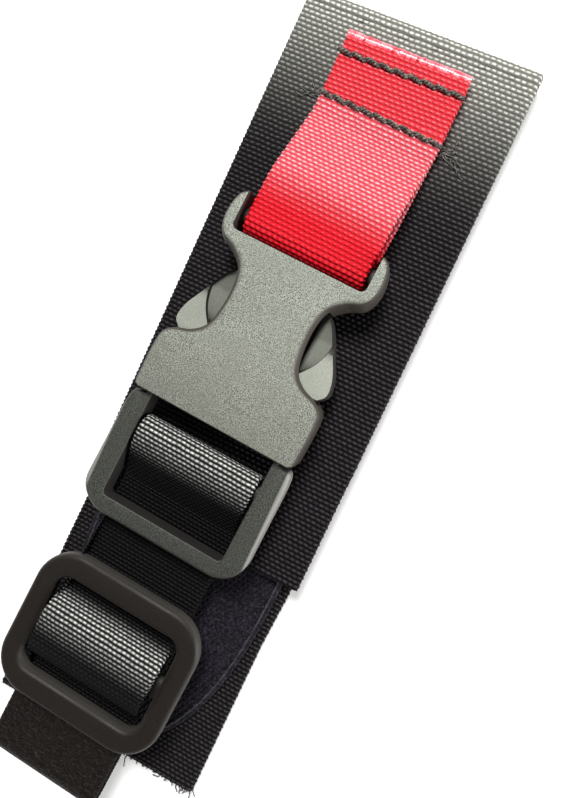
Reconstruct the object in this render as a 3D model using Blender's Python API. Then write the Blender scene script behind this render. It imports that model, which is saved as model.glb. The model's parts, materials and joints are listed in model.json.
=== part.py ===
"""Folded strap tourniquet with a side-release buckle and a tri-glide strap adjuster.

Frame: +X across the webbing, +Y along it towards the fold, +Z up. The object lies on its back leg.
Lengths along Y are measured from the cut end of the front leg, then the whole object is moved so
that the world origin is the middle of its box, on the surface that it lies on.
"""

import math

import bmesh
import bpy
from mathutils import Vector

mm = 0.001

# Clearance that every piece keeps from the piece it touches.
CLEAR = 0.3 * mm

# How far a cutter runs past the faces that it cuts through.
PAST = 2.0 * mm

# Wide band: one length of heavy webbing folded over.
BAND_WIDTH = 48.5 * mm
BAND_THICK = 2.0 * mm
FRONT_LENGTH = 110.0 * mm
BACK_OVERHANG = 49.5 * mm

# Hook patch on the back leg and pile patch on the front leg.
HOOK_WIDTH = 42.0 * mm
HOOK_THICK = 1.2 * mm
HOOK_STRAIGHT = 62.0 * mm
HOOK_END_LENGTH = 46.0 * mm
PILE_WIDTH = 40.0 * mm
PILE_THICK = 1.2 * mm
PILE_LENGTH = 52.0 * mm
PILE_SETBACK = 5.0 * mm

# The narrow webbing that the anchor loop and the tension strap are both cut from.
WEBBING_WIDTH = 25.2 * mm

# Anchor webbing, the loop that holds the socket.
ANCHOR_THICK = 1.3 * mm
ANCHOR_END_Y = 101.5 * mm
UPPER_SEAM_Y = 97.5 * mm
LOWER_SEAM_Y = 88.5 * mm

# Tension strap.
STRAP_THICK = 1.2 * mm
STRAP_RETURN = 12.0 * mm
TAIL_LENGTH = 15.5 * mm
TAPE_WIDTH = 22.0 * mm
TAPE_THICK = 1.0 * mm
TAPE_LENGTH = 14.0 * mm
TAPE_SET = 3.5 * mm
TAPE_LAP = 1.5 * mm

# How far the buckle's line is turned from the band's, about the lower seam.
LINE_SKEW = math.radians(-2.6)

# Side-release buckle. Places along the buckle are measured from the mouth of the socket.
MOUTH_Y = 23.0 * mm
SLOT_PLAY = 0.6 * mm
SOCKET_PLATE = 1.4 * mm
SOCKET_WALL = 2.4 * mm
SHOULDER = 13.0 * mm
WAIST_WIDTH = 18.2 * mm
WAIST_END = 30.0 * mm
SLOT_EDGE = 34.2 * mm
ARM_LENGTH = 7.4 * mm
ARM_WIDTH = 3.0 * mm
ARM_STEP = 1.0 * mm
BAR_WIDE = 3.0 * mm
BAR_THICK = 2.4 * mm
BAR_PLAY = 0.4 * mm
PLUG_THICK = 5.0 * mm
PLUG_LENGTH = 25.6 * mm
RAIL_WIDTH = 3.8 * mm
END_BAR = 3.8 * mm
BASE_DEPTH = 4.2 * mm
BASE_SET = 1.0 * mm
CLOSED_GAP = 0.5 * mm
MOUTH_PLAY = 0.6 * mm
ADJUST_BAR_SET = 7.5 * mm
TONGUE_WIDTH = 6.0 * mm
TONGUE_THICK = 3.0 * mm
TONGUE_LENGTH = 20.0 * mm
PRONG_ROOT_X = 10.2 * mm
PRONG_ARM = 2.2 * mm
PRONG_LENGTH = 22.4 * mm
PADDLE_SET = 0.6 * mm

# Tri-glide.
GLIDE_TOP_Y = -12.0 * mm
GLIDE_PLAY = 1.0 * mm
GLIDE_LENGTH = 30.6 * mm
GLIDE_THICK = 3.6 * mm
GLIDE_SIDE = 3.7 * mm
GLIDE_END = 5.2 * mm
GLIDE_BAR = 4.8 * mm
GLIDE_BAR_THICK = 2.4 * mm
GLIDE_CORNER = 8.0 * mm

# Threads.
THICK_THREAD = 0.45 * mm
THREAD = 0.35 * mm

# Widths and thicknesses that follow from the webbing and from what they hold.
SLOT_HALF = WEBBING_WIDTH / 2 + SLOT_PLAY
ARM_HALF = SLOT_HALF + ARM_WIDTH
SOCKET_HALF = ARM_HALF + ARM_STEP
SOCKET_THICK = PLUG_THICK + 2 * (MOUTH_PLAY + SOCKET_PLATE)
CAVITY_HALF = SOCKET_HALF - SOCKET_WALL
BASE_HALF = CAVITY_HALF - MOUTH_PLAY
PLUG_HALF = SLOT_HALF + RAIL_WIDTH
PADDLE_HALF = SOCKET_HALF - PADDLE_SET
GLIDE_SLOT = WEBBING_WIDTH + 2 * GLIDE_PLAY
GLIDE_WIDTH = GLIDE_SLOT + 2 * GLIDE_SIDE

# Heights worked out from the layers.
HOOK_TOP = BAND_THICK + CLEAR + HOOK_THICK
FRONT_UNDER = HOOK_TOP + CLEAR + PILE_THICK + CLEAR
LEG_TOP = FRONT_UNDER + BAND_THICK
LEG_STRAP = LEG_TOP + CLEAR + STRAP_THICK / 2
WORK_STRAP = LEG_STRAP + STRAP_THICK + CLEAR
FRAME_UNDER = WORK_STRAP + STRAP_THICK / 2 + CLEAR
BUCKLE_MID = FRAME_UNDER + PLUG_THICK / 2
GLIDE_MID = FRAME_UNDER + GLIDE_THICK / 2
TAPE_TOP = HOOK_TOP + CLEAR + TAPE_THICK
TAIL_UNDER = TAPE_TOP + CLEAR + STRAP_THICK / 2
FOLD_RADIUS = LEG_TOP / 2
FOLD_Y = FRONT_LENGTH - FOLD_RADIUS

# Places worked out along the buckle's line.
BAR_Y = MOUTH_Y + SLOT_EDGE + CLEAR + ANCHOR_THICK + CLEAR + BAR_WIDE / 2 + BAR_PLAY
ADJUST_BAR_Y = MOUTH_Y - ADJUST_BAR_SET
GLIDE_MID_Y = GLIDE_TOP_Y - GLIDE_LENGTH / 2
GLIDE_LOW_Y = GLIDE_TOP_Y - GLIDE_LENGTH
TAIL_END_Y = GLIDE_LOW_Y - TAIL_LENGTH
LINE_LENGTH = LOWER_SEAM_Y - TAIL_END_Y
LOW_CORNER_Y = (
    LOWER_SEAM_Y - LINE_LENGTH * math.cos(LINE_SKEW) - WEBBING_WIDTH / 2 * math.sin(abs(LINE_SKEW))
)
MIDDLE_Y = (FRONT_LENGTH + LOW_CORNER_Y) / 2


def clear_scene():
    for thing in list(bpy.data.objects):
        bpy.data.objects.remove(thing, do_unlink=True)


def plain_material(name, colour, roughness, metallic=0.0):
    made = bpy.data.materials.new(name)
    made.use_nodes = True
    shader = made.node_tree.nodes["Principled BSDF"]
    shader.inputs["Base Color"].default_value = (*colour, 1.0)
    shader.inputs["Roughness"].default_value = roughness
    shader.inputs["Metallic"].default_value = metallic
    return made


def empty_at(name, place, turn=0.0, parent=None):
    made = bpy.data.objects.new(name, None)
    made.location = place
    made.rotation_euler = (0.0, 0.0, turn)
    made.parent = parent
    bpy.context.scene.collection.objects.link(made)
    return made


def object_from(bm, name, material, parent, origin=(0.0, 0.0, 0.0)):
    """Turn a bmesh in the parent's frame into an object whose own origin is at the given point."""
    bmesh.ops.recalc_face_normals(bm, faces=bm.faces)
    bmesh.ops.translate(bm, verts=bm.verts, vec=-Vector(origin))
    mesh = bpy.data.meshes.new(name)
    bm.to_mesh(mesh)
    bm.free()
    mesh.shade_smooth()
    mesh.set_sharp_from_angle(angle=math.radians(35))
    mesh.materials.append(material)
    made = bpy.data.objects.new(name, mesh)
    made.location = origin
    made.parent = parent
    bpy.context.scene.collection.objects.link(made)
    return made


def combine(target, helper, operation):
    """Cut the helper from the target, or add it, and keep the helper out of the model."""
    helper.hide_render = True
    helper.display_type = "WIRE"
    boolean = target.modifiers.new(helper.name, "BOOLEAN")
    boolean.operation = operation
    boolean.solver = "EXACT"
    boolean.object = helper


def arc(centre, radius, start, end, steps):
    """Points on an arc, from the start angle to the end angle in degrees."""
    points = []
    for step in range(steps + 1):
        angle = math.radians(start + (end - start) * step / steps)
        points.append((centre[0] + radius * math.cos(angle), centre[1] + radius * math.sin(angle)))
    return points


def rounded_route(corners, step_angle=15.0):
    """A polyline of (a, b, radius) with each inner corner replaced by an arc of its radius."""
    route = [Vector(corners[0][:2])]
    for before, here, after in zip(corners, corners[1:], corners[2:]):
        corner = Vector(here[:2])
        back = (Vector(before[:2]) - corner).normalized()
        ahead = (Vector(after[:2]) - corner).normalized()
        turn = math.pi - back.angle(ahead)
        reach = here[2] * math.tan(turn / 2)
        centre = corner + (back + ahead).normalized() * here[2] / math.cos(turn / 2)
        first = corner + back * reach - centre
        steps = max(2, math.ceil(math.degrees(turn) / step_angle))
        side = 1.0 if back.x * ahead.y - back.y * ahead.x < 0 else -1.0
        for step in range(steps + 1):
            angle = side * turn * step / steps
            spoke = Vector((
                first.x * math.cos(angle) - first.y * math.sin(angle),
                first.x * math.sin(angle) + first.y * math.cos(angle),
            ))
            route.append(centre + spoke)
    route.append(Vector(corners[-1][:2]))
    apart = [here for here, after in zip(route, route[1:]) if (after - here).length > 0.01 * mm]
    return [*apart, route[-1]]


def blend_between(low, high, low_at, high_at, at):
    return low * ((high_at - at) / (high_at - low_at)) + high * ((at - low_at) / (high_at - low_at))


def smooth_through(points, steps=5):
    """A centripetal Catmull-Rom curve through the points, which starts and ends on them."""
    known = [Vector(p) for p in points]
    known = [2 * known[0] - known[1], *known, 2 * known[-1] - known[-2]]
    curve = []
    for a, b, c, d in zip(known, known[1:], known[2:], known[3:]):
        at_b = math.sqrt((b - a).length)
        at_c = at_b + math.sqrt((c - b).length)
        at_d = at_c + math.sqrt((d - c).length)
        for step in range(steps):
            at = at_b + (at_c - at_b) * step / steps
            ab = blend_between(a, b, 0.0, at_b, at)
            bc = blend_between(b, c, at_b, at_c, at)
            cd = blend_between(c, d, at_c, at_d, at)
            abc = blend_between(ab, bc, 0.0, at_c, at)
            bcd = blend_between(bc, cd, at_b, at_d, at)
            curve.append(blend_between(abc, bcd, at_b, at_c, at))
    curve.append(known[-2])
    return curve


def ribbon(route, thick, width):
    """Webbing of the given thickness and width along a route of (y, z) points."""
    bm = bmesh.new()
    rings = []
    for index, point in enumerate(route):
        before = route[max(index - 1, 0)]
        after = route[min(index + 1, len(route) - 1)]
        into = (point - before).normalized() if index else (after - point).normalized()
        out = (after - point).normalized() if index < len(route) - 1 else into
        along = (into + out).normalized()
        across = Vector((-along.y, along.x)) * (thick / 2 / max(along.dot(into), 0.5))
        ring = []
        for x, side in ((-1, -1), (1, -1), (1, 1), (-1, 1)):
            at = point + across * side
            ring.append(bm.verts.new((x * width / 2, at.x, at.y)))
        rings.append(ring)
    for ring, following in zip(rings, rings[1:]):
        for corner in range(4):
            nearby = (corner + 1) % 4
            bm.faces.new((ring[corner], ring[nearby], following[nearby], following[corner]))
    bm.faces.new(rings[0])
    bm.faces.new(reversed(rings[-1]))
    return bm


def prism(outline, low, high, rounding=0.0, segments=3):
    """An outline in the XY plane raised from low to high, with its rims rounded."""
    bm = bmesh.new()
    face = bm.faces.new([bm.verts.new((x, y, low)) for x, y in outline])
    raised = bmesh.ops.extrude_face_region(bm, geom=[face])
    top = [item for item in raised["geom"] if isinstance(item, bmesh.types.BMVert)]
    bmesh.ops.translate(bm, verts=top, vec=(0.0, 0.0, high - low))
    bmesh.ops.recalc_face_normals(bm, faces=bm.faces)
    if rounding:
        rims = [e for e in bm.edges if abs(e.verts[0].co.z - e.verts[1].co.z) < 1e-7]
        bmesh.ops.bevel(
            bm, geom=rims, offset=rounding, segments=segments, profile=0.5, affect="EDGES",
            material=-1,
        )
    return bm


def box(low, high):
    bm = bmesh.new()
    bmesh.ops.create_cube(bm, size=1.0)
    size = Vector(high) - Vector(low)
    bmesh.ops.scale(bm, verts=bm.verts, vec=size)
    bmesh.ops.translate(bm, verts=bm.verts, vec=(Vector(low) + Vector(high)) / 2)
    return bm


def tube(route, radius, closed=False, sides=8):
    """A round thread along a route of (x, y, z) points, with flat ends unless it is closed."""
    bm = bmesh.new()
    rings = []
    count = len(route)
    for index, point in enumerate(route):
        before = route[index - 1] if closed or index else point
        after = route[(index + 1) % count] if closed or index < count - 1 else point
        along = (Vector(after) - Vector(before)).normalized()
        side = along.cross(Vector((0.0, 0.0, 1.0))).normalized()
        ring = []
        for step in range(sides):
            angle = 2 * math.pi * step / sides
            spoke = side * math.cos(angle) + Vector((0.0, 0.0, 1.0)) * math.sin(angle)
            ring.append(bm.verts.new(Vector(point) + spoke * radius))
        rings.append(ring)
    pairs = list(zip(rings, rings[1:]))
    if closed:
        pairs.append((rings[-1], rings[0]))
    for ring, following in pairs:
        for step in range(sides):
            nearby = (step + 1) % sides
            bm.faces.new((ring[step], ring[nearby], following[nearby], following[step]))
    if not closed:
        bm.faces.new(rings[0])
        bm.faces.new(reversed(rings[-1]))
    return bm


def rounded_rectangle(width, length, corner, centre_y=0.0, steps=8):
    x = width / 2 - corner
    y = length / 2 - corner
    points = arc((x, centre_y + y), corner, 0, 90, steps)
    points += arc((-x, centre_y + y), corner, 90, 180, steps)
    points += arc((-x, centre_y - y), corner, 180, 270, steps)
    points += arc((x, centre_y - y), corner, 270, 360, steps)
    return points


def mirrored(half):
    """Close an outline whose right half is given from bottom to top."""
    return list(half) + [(-x, y) for x, y in reversed(half)]


def flat_layer(name, outline, low, high, material, parent):
    return object_from(prism(outline, low, high), name, material, parent)


def rectangle(width, start, end):
    return [(-width / 2, start), (width / 2, start), (width / 2, end), (-width / 2, end)]


def oval_ended(width, start, end_length, end, extra=0.0):
    """A patch outline with a square end and a long oval end."""
    points = [(width / 2 + extra, end + extra), (-width / 2 - extra, end + extra)]
    steps = 28
    power = 2 / 2.4
    for step in range(steps + 1):
        angle = math.pi + math.pi * step / steps
        across = math.copysign(abs(math.cos(angle)) ** power, math.cos(angle))
        along = abs(math.sin(angle)) ** power
        points.append(((width / 2 + extra) * across, start - (end_length + extra) * along))
    return points


def make_band(root, materials):
    front = empty_at("front_fold_axis", (0.0, FOLD_Y, FOLD_RADIUS), parent=root)
    back_outline = rectangle(BAND_WIDTH, -BACK_OVERHANG, FOLD_Y - CLEAR)
    flat_layer("band_back", back_outline, 0.0, BAND_THICK, materials["webbing"], root)
    middle = FOLD_RADIUS - BAND_THICK / 2
    bend = [Vector(p) for p in arc((FOLD_Y, FOLD_RADIUS), middle, -90, 90, 16)]
    object_from(ribbon(bend, BAND_THICK, BAND_WIDTH), "band_fold", materials["webbing"], root)
    front_outline = rectangle(BAND_WIDTH, 0.0, FOLD_Y - CLEAR)
    leg = prism(front_outline, FRONT_UNDER, LEG_TOP)
    origin = (0.0, FOLD_Y, FOLD_RADIUS)
    made = object_from(leg, "band_front", materials["webbing"], None, origin)
    made.location = (0.0, 0.0, 0.0)
    made.parent = front
    return front


def make_patches(root, materials):
    low = BAND_THICK + CLEAR
    outline = oval_ended(HOOK_WIDTH, 0.0, HOOK_END_LENGTH, HOOK_STRAIGHT)
    flat_layer("hook_patch", outline, low, HOOK_TOP, materials["hook"], root)
    beside = CLEAR + THREAD
    ring = oval_ended(HOOK_WIDTH, 0.0, HOOK_END_LENGTH, HOOK_STRAIGHT, extra=beside)
    seam = [(x, y, low + THREAD) for x, y in ring]
    object_from(tube(seam, THREAD, closed=True, sides=6), "hook_patch_seam", materials["thread"], root)
    high = FRONT_UNDER - CLEAR
    outline = rectangle(PILE_WIDTH, PILE_SETBACK, PILE_SETBACK + PILE_LENGTH)
    flat_layer("pile_patch", outline, high - PILE_THICK, high, materials["pile"], root)
    ring = rounded_rectangle(
        PILE_WIDTH + 2 * beside, PILE_LENGTH + 2 * beside, beside,
        PILE_SETBACK + PILE_LENGTH / 2, steps=3,
    )
    seam = [(x, y, high - THREAD) for x, y in ring]
    object_from(tube(seam, THREAD, closed=True, sides=6), "pile_patch_seam", materials["thread"], root)


def anchor_route():
    """The loop, from its lower end under the seams, round the socket's bar and back on top."""
    lower = LEG_TOP + CLEAR + ANCHOR_THICK / 2
    upper = lower + ANCHOR_THICK + CLEAR
    hug = BAR_WIDE / 2 + CLEAR + ANCHOR_THICK / 2 + BAR_PLAY
    rise = BUCKLE_MID + hug
    sink = BUCKLE_MID - hug
    front = BAR_Y - hug
    return rounded_route([
        (ANCHOR_END_Y - ANCHOR_THICK, lower, 0.0),
        (BAR_Y + 11.0 * mm, lower, 12.0 * mm),
        (BAR_Y + 2.0 * mm, sink, 9.0 * mm),
        (front, sink, hug),
        (front, rise, hug),
        (BAR_Y + 9.0 * mm, rise, 12.0 * mm),
        (LOWER_SEAM_Y - 4.0 * mm, upper, 7.0 * mm),
        (ANCHOR_END_Y, upper, 0.0),
    ])


def make_anchor(line, materials):
    webbing = ribbon(anchor_route(), ANCHOR_THICK, WEBBING_WIDTH)
    object_from(webbing, "anchor_webbing", materials["red"], line)
    high = LEG_TOP + 2 * (CLEAR + ANCHOR_THICK) + CLEAR + THICK_THREAD
    half = WEBBING_WIDTH / 2 - THICK_THREAD
    for name, y in (("anchor_seam_upper", UPPER_SEAM_Y), ("anchor_seam_lower", LOWER_SEAM_Y)):
        thread = tube([(-half, y, high), (0.0, y, high), (half, y, high)], THICK_THREAD)
        object_from(thread, name, materials["thread"], line)


def socket_outline():
    half = SOCKET_HALF
    arm = ARM_HALF
    waist = WAIST_WIDTH / 2
    tip = BAR_Y - MOUTH_Y + ARM_LENGTH / 2
    right = [
        (half - 1.2 * mm, 0.0),
        (half - 0.3 * mm, 0.9 * mm),
        (half, SHOULDER - 3.4 * mm),
    ]
    right += smooth_through([
        (half - 0.6 * mm, SHOULDER - 1.4 * mm),
        (half - 2.4 * mm, SHOULDER),
        (waist + 3.0 * mm, SHOULDER + 1.2 * mm),
        (waist + 0.9 * mm, SHOULDER + 3.4 * mm),
        (waist, SHOULDER + 7.5 * mm),
        (waist - 0.1 * mm, WAIST_END - 5.0 * mm),
        (waist + 0.7 * mm, WAIST_END - 1.6 * mm),
        (waist + 3.2 * mm, WAIST_END + 0.8 * mm),
        (arm - 1.2 * mm, WAIST_END + 2.4 * mm),
        (arm, WAIST_END + 5.6 * mm),
        (arm - 0.2 * mm, tip - 3.2 * mm),
        (arm - 1.0 * mm, tip - 0.8 * mm),
        (arm - 2.2 * mm, tip),
    ], steps=4)
    return [(x, MOUTH_Y + y) for x, y in mirrored(right)]


def cross_bar(centre, half_length, wide, thick):
    """A bar along X with an oval section, which webbing wraps."""
    bm = bmesh.new()
    steps = 20
    ends = []
    for x in (-half_length, half_length):
        ring = []
        for step in range(steps):
            angle = 2 * math.pi * step / steps
            y = centre[0] + wide / 2 * math.cos(angle)
            ring.append(bm.verts.new((x, y, centre[1] + thick / 2 * math.sin(angle))))
        ends.append(ring)
    for step in range(steps):
        nearby = (step + 1) % steps
        bm.faces.new((ends[0][step], ends[0][nearby], ends[1][nearby], ends[1][step]))
    bm.faces.new(ends[0])
    bm.faces.new(reversed(ends[1]))
    return bm


def make_socket(line, materials):
    """The female half. Its origin is on the axis of its webbing bar."""
    origin = (0.0, BAR_Y, BUCKLE_MID)
    low = BUCKLE_MID - SOCKET_THICK / 2
    high = BUCKLE_MID + SOCKET_THICK / 2
    material = materials["buckle"]
    body = prism(socket_outline(), low, high, rounding=0.8 * mm)
    made = object_from(body, "buckle_socket", material, line, origin)
    notch = box(
        (-SLOT_HALF, MOUTH_Y + SLOT_EDGE, low - PAST), (SLOT_HALF, BAR_Y + ARM_LENGTH, high + PAST)
    )
    combine(made, object_from(notch, "socket_notch", material, line, origin), "DIFFERENCE")
    shelf = MOUTH_Y + SHOULDER - 0.4 * mm
    end = MOUTH_Y + WAIST_END - 1.5 * mm
    outline = mirrored([
        (CAVITY_HALF, MOUTH_Y - PAST),
        (CAVITY_HALF, shelf),
        (2 * SOCKET_HALF, shelf),
        (2 * SOCKET_HALF, end),
    ])
    hollow = prism(outline, low + SOCKET_PLATE, high - SOCKET_PLATE)
    combine(made, object_from(hollow, "socket_hollow", material, line, origin), "DIFFERENCE")
    bar = cross_bar((BAR_Y, BUCKLE_MID), SLOT_HALF + ARM_WIDTH / 2, BAR_WIDE, BAR_THICK)
    combine(made, object_from(bar, "socket_bar", material, line, origin), "UNION")


def plug_outline():
    half = PLUG_HALF
    low = MOUTH_Y - PLUG_LENGTH
    top = MOUTH_Y - CLOSED_GAP
    taper = 1.2 * mm
    corner = 6.0 * mm
    right = arc((half - taper - corner, low + corner), corner, -90, 0, 8)
    right += smooth_through([
        (half - 0.4 * mm, low + 13.0 * mm),
        (half, top - 1.6 * mm),
        (half - 0.5 * mm, top - 0.5 * mm),
        (half - 1.6 * mm, top),
    ], steps=3)
    base_end = MOUTH_Y + BASE_SET + BASE_DEPTH
    right += [(BASE_HALF, top), (BASE_HALF, base_end)]
    return mirrored(right)


def make_plug(line, materials):
    """The male half without its prongs: frame, end bar, adjusting bar, base and tongue."""
    low = BUCKLE_MID - PLUG_THICK / 2
    high = BUCKLE_MID + PLUG_THICK / 2
    material = materials["buckle"]
    origin = (0.0, MOUTH_Y, BUCKLE_MID)
    body = prism(plug_outline(), low, high, rounding=0.5 * mm)
    made = object_from(body, "plug_frame", material, line, origin)
    base = MOUTH_Y + BASE_SET
    corner = 1.0 * mm
    start = MOUTH_Y - PLUG_LENGTH + END_BAR
    outline = rounded_rectangle(2 * SLOT_HALF, base - start, corner, (start + base) / 2, steps=4)
    window = prism(outline, low - PAST, high + PAST)
    combine(made, object_from(window, "plug_window", material, line, origin), "DIFFERENCE")
    bar = cross_bar((ADJUST_BAR_Y, BUCKLE_MID), SLOT_HALF + RAIL_WIDTH / 2, BAR_WIDE, BAR_THICK)
    combine(made, object_from(bar, "plug_bar", material, line, origin), "UNION")
    tip = base + BASE_DEPTH + TONGUE_LENGTH
    half = TONGUE_THICK / 2
    side = TONGUE_WIDTH / 2
    shape = mirrored([
        (side, base + BASE_DEPTH / 2),
        (side, tip - 2.0 * mm),
        (side - 1.6 * mm, tip),
    ])
    tongue = prism(shape, BUCKLE_MID - half, BUCKLE_MID + half)
    combine(made, object_from(tongue, "plug_tongue", material, line, origin), "UNION")


def prong_outline():
    """The right prong: a thin arm from the plug's base, and a paddle whose foot sits on the shoulder."""
    root = MOUTH_Y + BASE_SET + BASE_DEPTH + CLEAR
    foot = MOUTH_Y + SHOULDER + CLEAR
    tip = root + PRONG_LENGTH
    inner = PRONG_ROOT_X - PRONG_ARM / 2
    outer = PRONG_ROOT_X + PRONG_ARM / 2
    points = [
        (inner, root),
        (outer, root),
        (outer + 0.2 * mm, foot - 1.5 * mm),
        (outer + 0.8 * mm, foot),
        (PADDLE_HALF - 0.5 * mm, foot),
    ]
    points += smooth_through([
        (PADDLE_HALF, foot + 1.0 * mm),
        (PADDLE_HALF + 0.1 * mm, foot + 4.5 * mm),
        (PADDLE_HALF - 1.4 * mm, foot + 9.0 * mm),
        (outer + 1.0 * mm, tip - 1.6 * mm),
        (outer - 0.6 * mm, tip - 0.2 * mm),
        (inner - 0.4 * mm, tip - 1.4 * mm),
    ], steps=4)
    return points


def make_prongs(line, materials):
    """Each prong's origin is at the root of its flexing arm."""
    height = SOCKET_THICK / 2 - SOCKET_PLATE - MOUTH_PLAY / 2
    root = MOUTH_Y + BASE_SET + BASE_DEPTH + CLEAR
    for name, side in (("prong_left", -1), ("prong_right", 1)):
        outline = [(side * x, y) for x, y in prong_outline()]
        body = prism(outline, BUCKLE_MID - height, BUCKLE_MID + height, rounding=0.4 * mm, segments=2)
        origin = (side * PRONG_ROOT_X, root, BUCKLE_MID)
        object_from(body, name, materials["buckle"], line, origin)


def strap_route():
    """From the end sewn under the tri-glide, round both bars, and back through the tri-glide."""
    half = STRAP_THICK / 2
    step = STRAP_THICK + CLEAR
    gap = CLEAR + half
    bar_top = GLIDE_MID + GLIDE_BAR_THICK / 2 + gap
    bar_low = GLIDE_MID - GLIDE_BAR_THICK / 2 - gap
    bar_near = GLIDE_MID_Y + GLIDE_BAR / 2 + gap
    bar_far = GLIDE_MID_Y - GLIDE_BAR / 2 - gap
    returned = LEG_STRAP - step
    hug = BAR_WIDE / 2 + gap + BAR_PLAY
    rise = BUCKLE_MID + hug
    sink = BUCKLE_MID - hug
    end_bar = MOUTH_Y - PLUG_LENGTH + END_BAR
    fold = (WORK_STRAP - TAIL_UNDER) / 2
    far = TAIL_END_Y + half
    tight = 1.0 * mm
    return rounded_route([
        (bar_near + 1.0 * mm + STRAP_RETURN, returned, 0.0),
        (bar_near - 0.9 * mm, returned, 1.6 * mm),
        (bar_far + 2.6 * mm, bar_low, 1.6 * mm),
        (bar_far, bar_low, tight),
        (bar_far, bar_top, tight),
        (bar_near, bar_top, tight),
        (bar_near, LEG_STRAP, 1.4 * mm),
        (ADJUST_BAR_Y - 9.0 * mm, LEG_STRAP, 10.0 * mm),
        (ADJUST_BAR_Y - 2.0 * mm, sink, 6.0 * mm),
        (ADJUST_BAR_Y + hug, sink, hug),
        (ADJUST_BAR_Y + hug, rise, hug),
        (ADJUST_BAR_Y - 2.4 * mm, rise, 4.0 * mm),
        (end_bar + 2.6 * mm, WORK_STRAP, 4.0 * mm),
        (bar_near + step, WORK_STRAP, 1.4 * mm),
        (bar_near + step, bar_top + step, tight + half),
        (bar_far - step, bar_top + step, tight + half),
        (bar_far - step, WORK_STRAP, 1.4 * mm),
        (far, WORK_STRAP, fold),
        (far, TAIL_UNDER, fold),
        (TAIL_END_Y + TAPE_SET + TAPE_LENGTH + TAPE_LAP, TAIL_UNDER, 0.0),
    ])


def make_strap(line, materials):
    webbing = ribbon(strap_route(), STRAP_THICK, WEBBING_WIDTH)
    object_from(webbing, "tension_strap", materials["strap"], line)
    bar_near = GLIDE_MID_Y + GLIDE_BAR / 2
    under = LEG_STRAP - 1.5 * STRAP_THICK - 2 * CLEAR - THREAD
    half = WEBBING_WIDTH / 2 - 2 * THREAD
    seam_y = bar_near + STRAP_RETURN / 2
    seam = tube([(-half, seam_y, under), (0.0, seam_y, under), (half, seam_y, under)], THREAD)
    object_from(seam, "strap_loop_seam", materials["thread"], line)
    start = TAIL_END_Y + TAPE_SET
    outline = rectangle(TAPE_WIDTH, start, start + TAPE_LENGTH)
    flat_layer("tail_pile_tape", outline, TAPE_TOP - TAPE_THICK, TAPE_TOP, materials["pile"], line)
    beside = TAPE_WIDTH / 2 + CLEAR + THREAD
    for name, side in (("tail_seam_left", -1), ("tail_seam_right", 1)):
        ends = (start, start + TAPE_LENGTH / 2, start + TAPE_LENGTH)
        seam = tube([(side * beside, y, TAPE_TOP - THREAD) for y in ends], THREAD, sides=6)
        object_from(seam, name, materials["thread"], line)


def make_tri_glide(line, materials):
    low = GLIDE_MID - GLIDE_THICK / 2
    high = GLIDE_MID + GLIDE_THICK / 2
    material = materials["glide"]
    origin = (0.0, GLIDE_MID_Y, GLIDE_MID)
    outline = rounded_rectangle(GLIDE_WIDTH, GLIDE_LENGTH, GLIDE_CORNER, GLIDE_MID_Y)
    made = object_from(prism(outline, low, high, rounding=1.0 * mm), "tri_glide", material, line, origin)
    corner = 2.8 * mm
    outline = rounded_rectangle(GLIDE_SLOT, GLIDE_LENGTH - 2 * GLIDE_END, corner, GLIDE_MID_Y, steps=6)
    window = prism(outline, low - PAST, high + PAST)
    combine(made, object_from(window, "glide_window", material, line, origin), "DIFFERENCE")
    reach = GLIDE_SLOT / 2 + GLIDE_SIDE / 2
    bar = cross_bar((GLIDE_MID_Y, GLIDE_MID), reach, GLIDE_BAR, GLIDE_BAR_THICK)
    combine(made, object_from(bar, "glide_bar", material, line, origin), "UNION")


def main():
    clear_scene()
    materials = {
        "webbing": plain_material("black_band_webbing", (0.012, 0.011, 0.013), 0.75),
        "strap": plain_material("black_strap_webbing", (0.014, 0.013, 0.014), 0.7),
        "red": plain_material("red_webbing", (0.55, 0.01, 0.03), 0.6),
        "hook": plain_material("hook_tape", (0.018, 0.016, 0.022), 0.85),
        "pile": plain_material("pile_tape", (0.022, 0.018, 0.018), 0.95),
        "thread": plain_material("black_thread", (0.01, 0.01, 0.01), 0.6),
        "buckle": plain_material("buckle_plastic", (0.055, 0.055, 0.052), 0.55),
        "glide": plain_material("tri_glide_plastic", (0.028, 0.026, 0.023), 0.6),
    }
    root = empty_at("tourniquet_frame", (0.0, -MIDDLE_Y, 0.0))
    make_band(root, materials)
    make_patches(root, materials)
    pivot = empty_at("buckle_line", (0.0, LOWER_SEAM_Y, 0.0), LINE_SKEW, root)
    line = empty_at("buckle_line_start", (0.0, -LOWER_SEAM_Y, 0.0), parent=pivot)
    make_anchor(line, materials)
    make_socket(line, materials)
    make_plug(line, materials)
    make_prongs(line, materials)
    make_strap(line, materials)
    make_tri_glide(line, materials)


main()
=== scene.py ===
"""The looks of a folded strap tourniquet: webbing, buckle, strap adjuster, stitching and loose threads.

Lengths are metres. Places along the buckle are measured from the socket's webbing bar, on the line
that the buckle and its straps share: across it, along it towards the fold, and up.
"""

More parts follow.
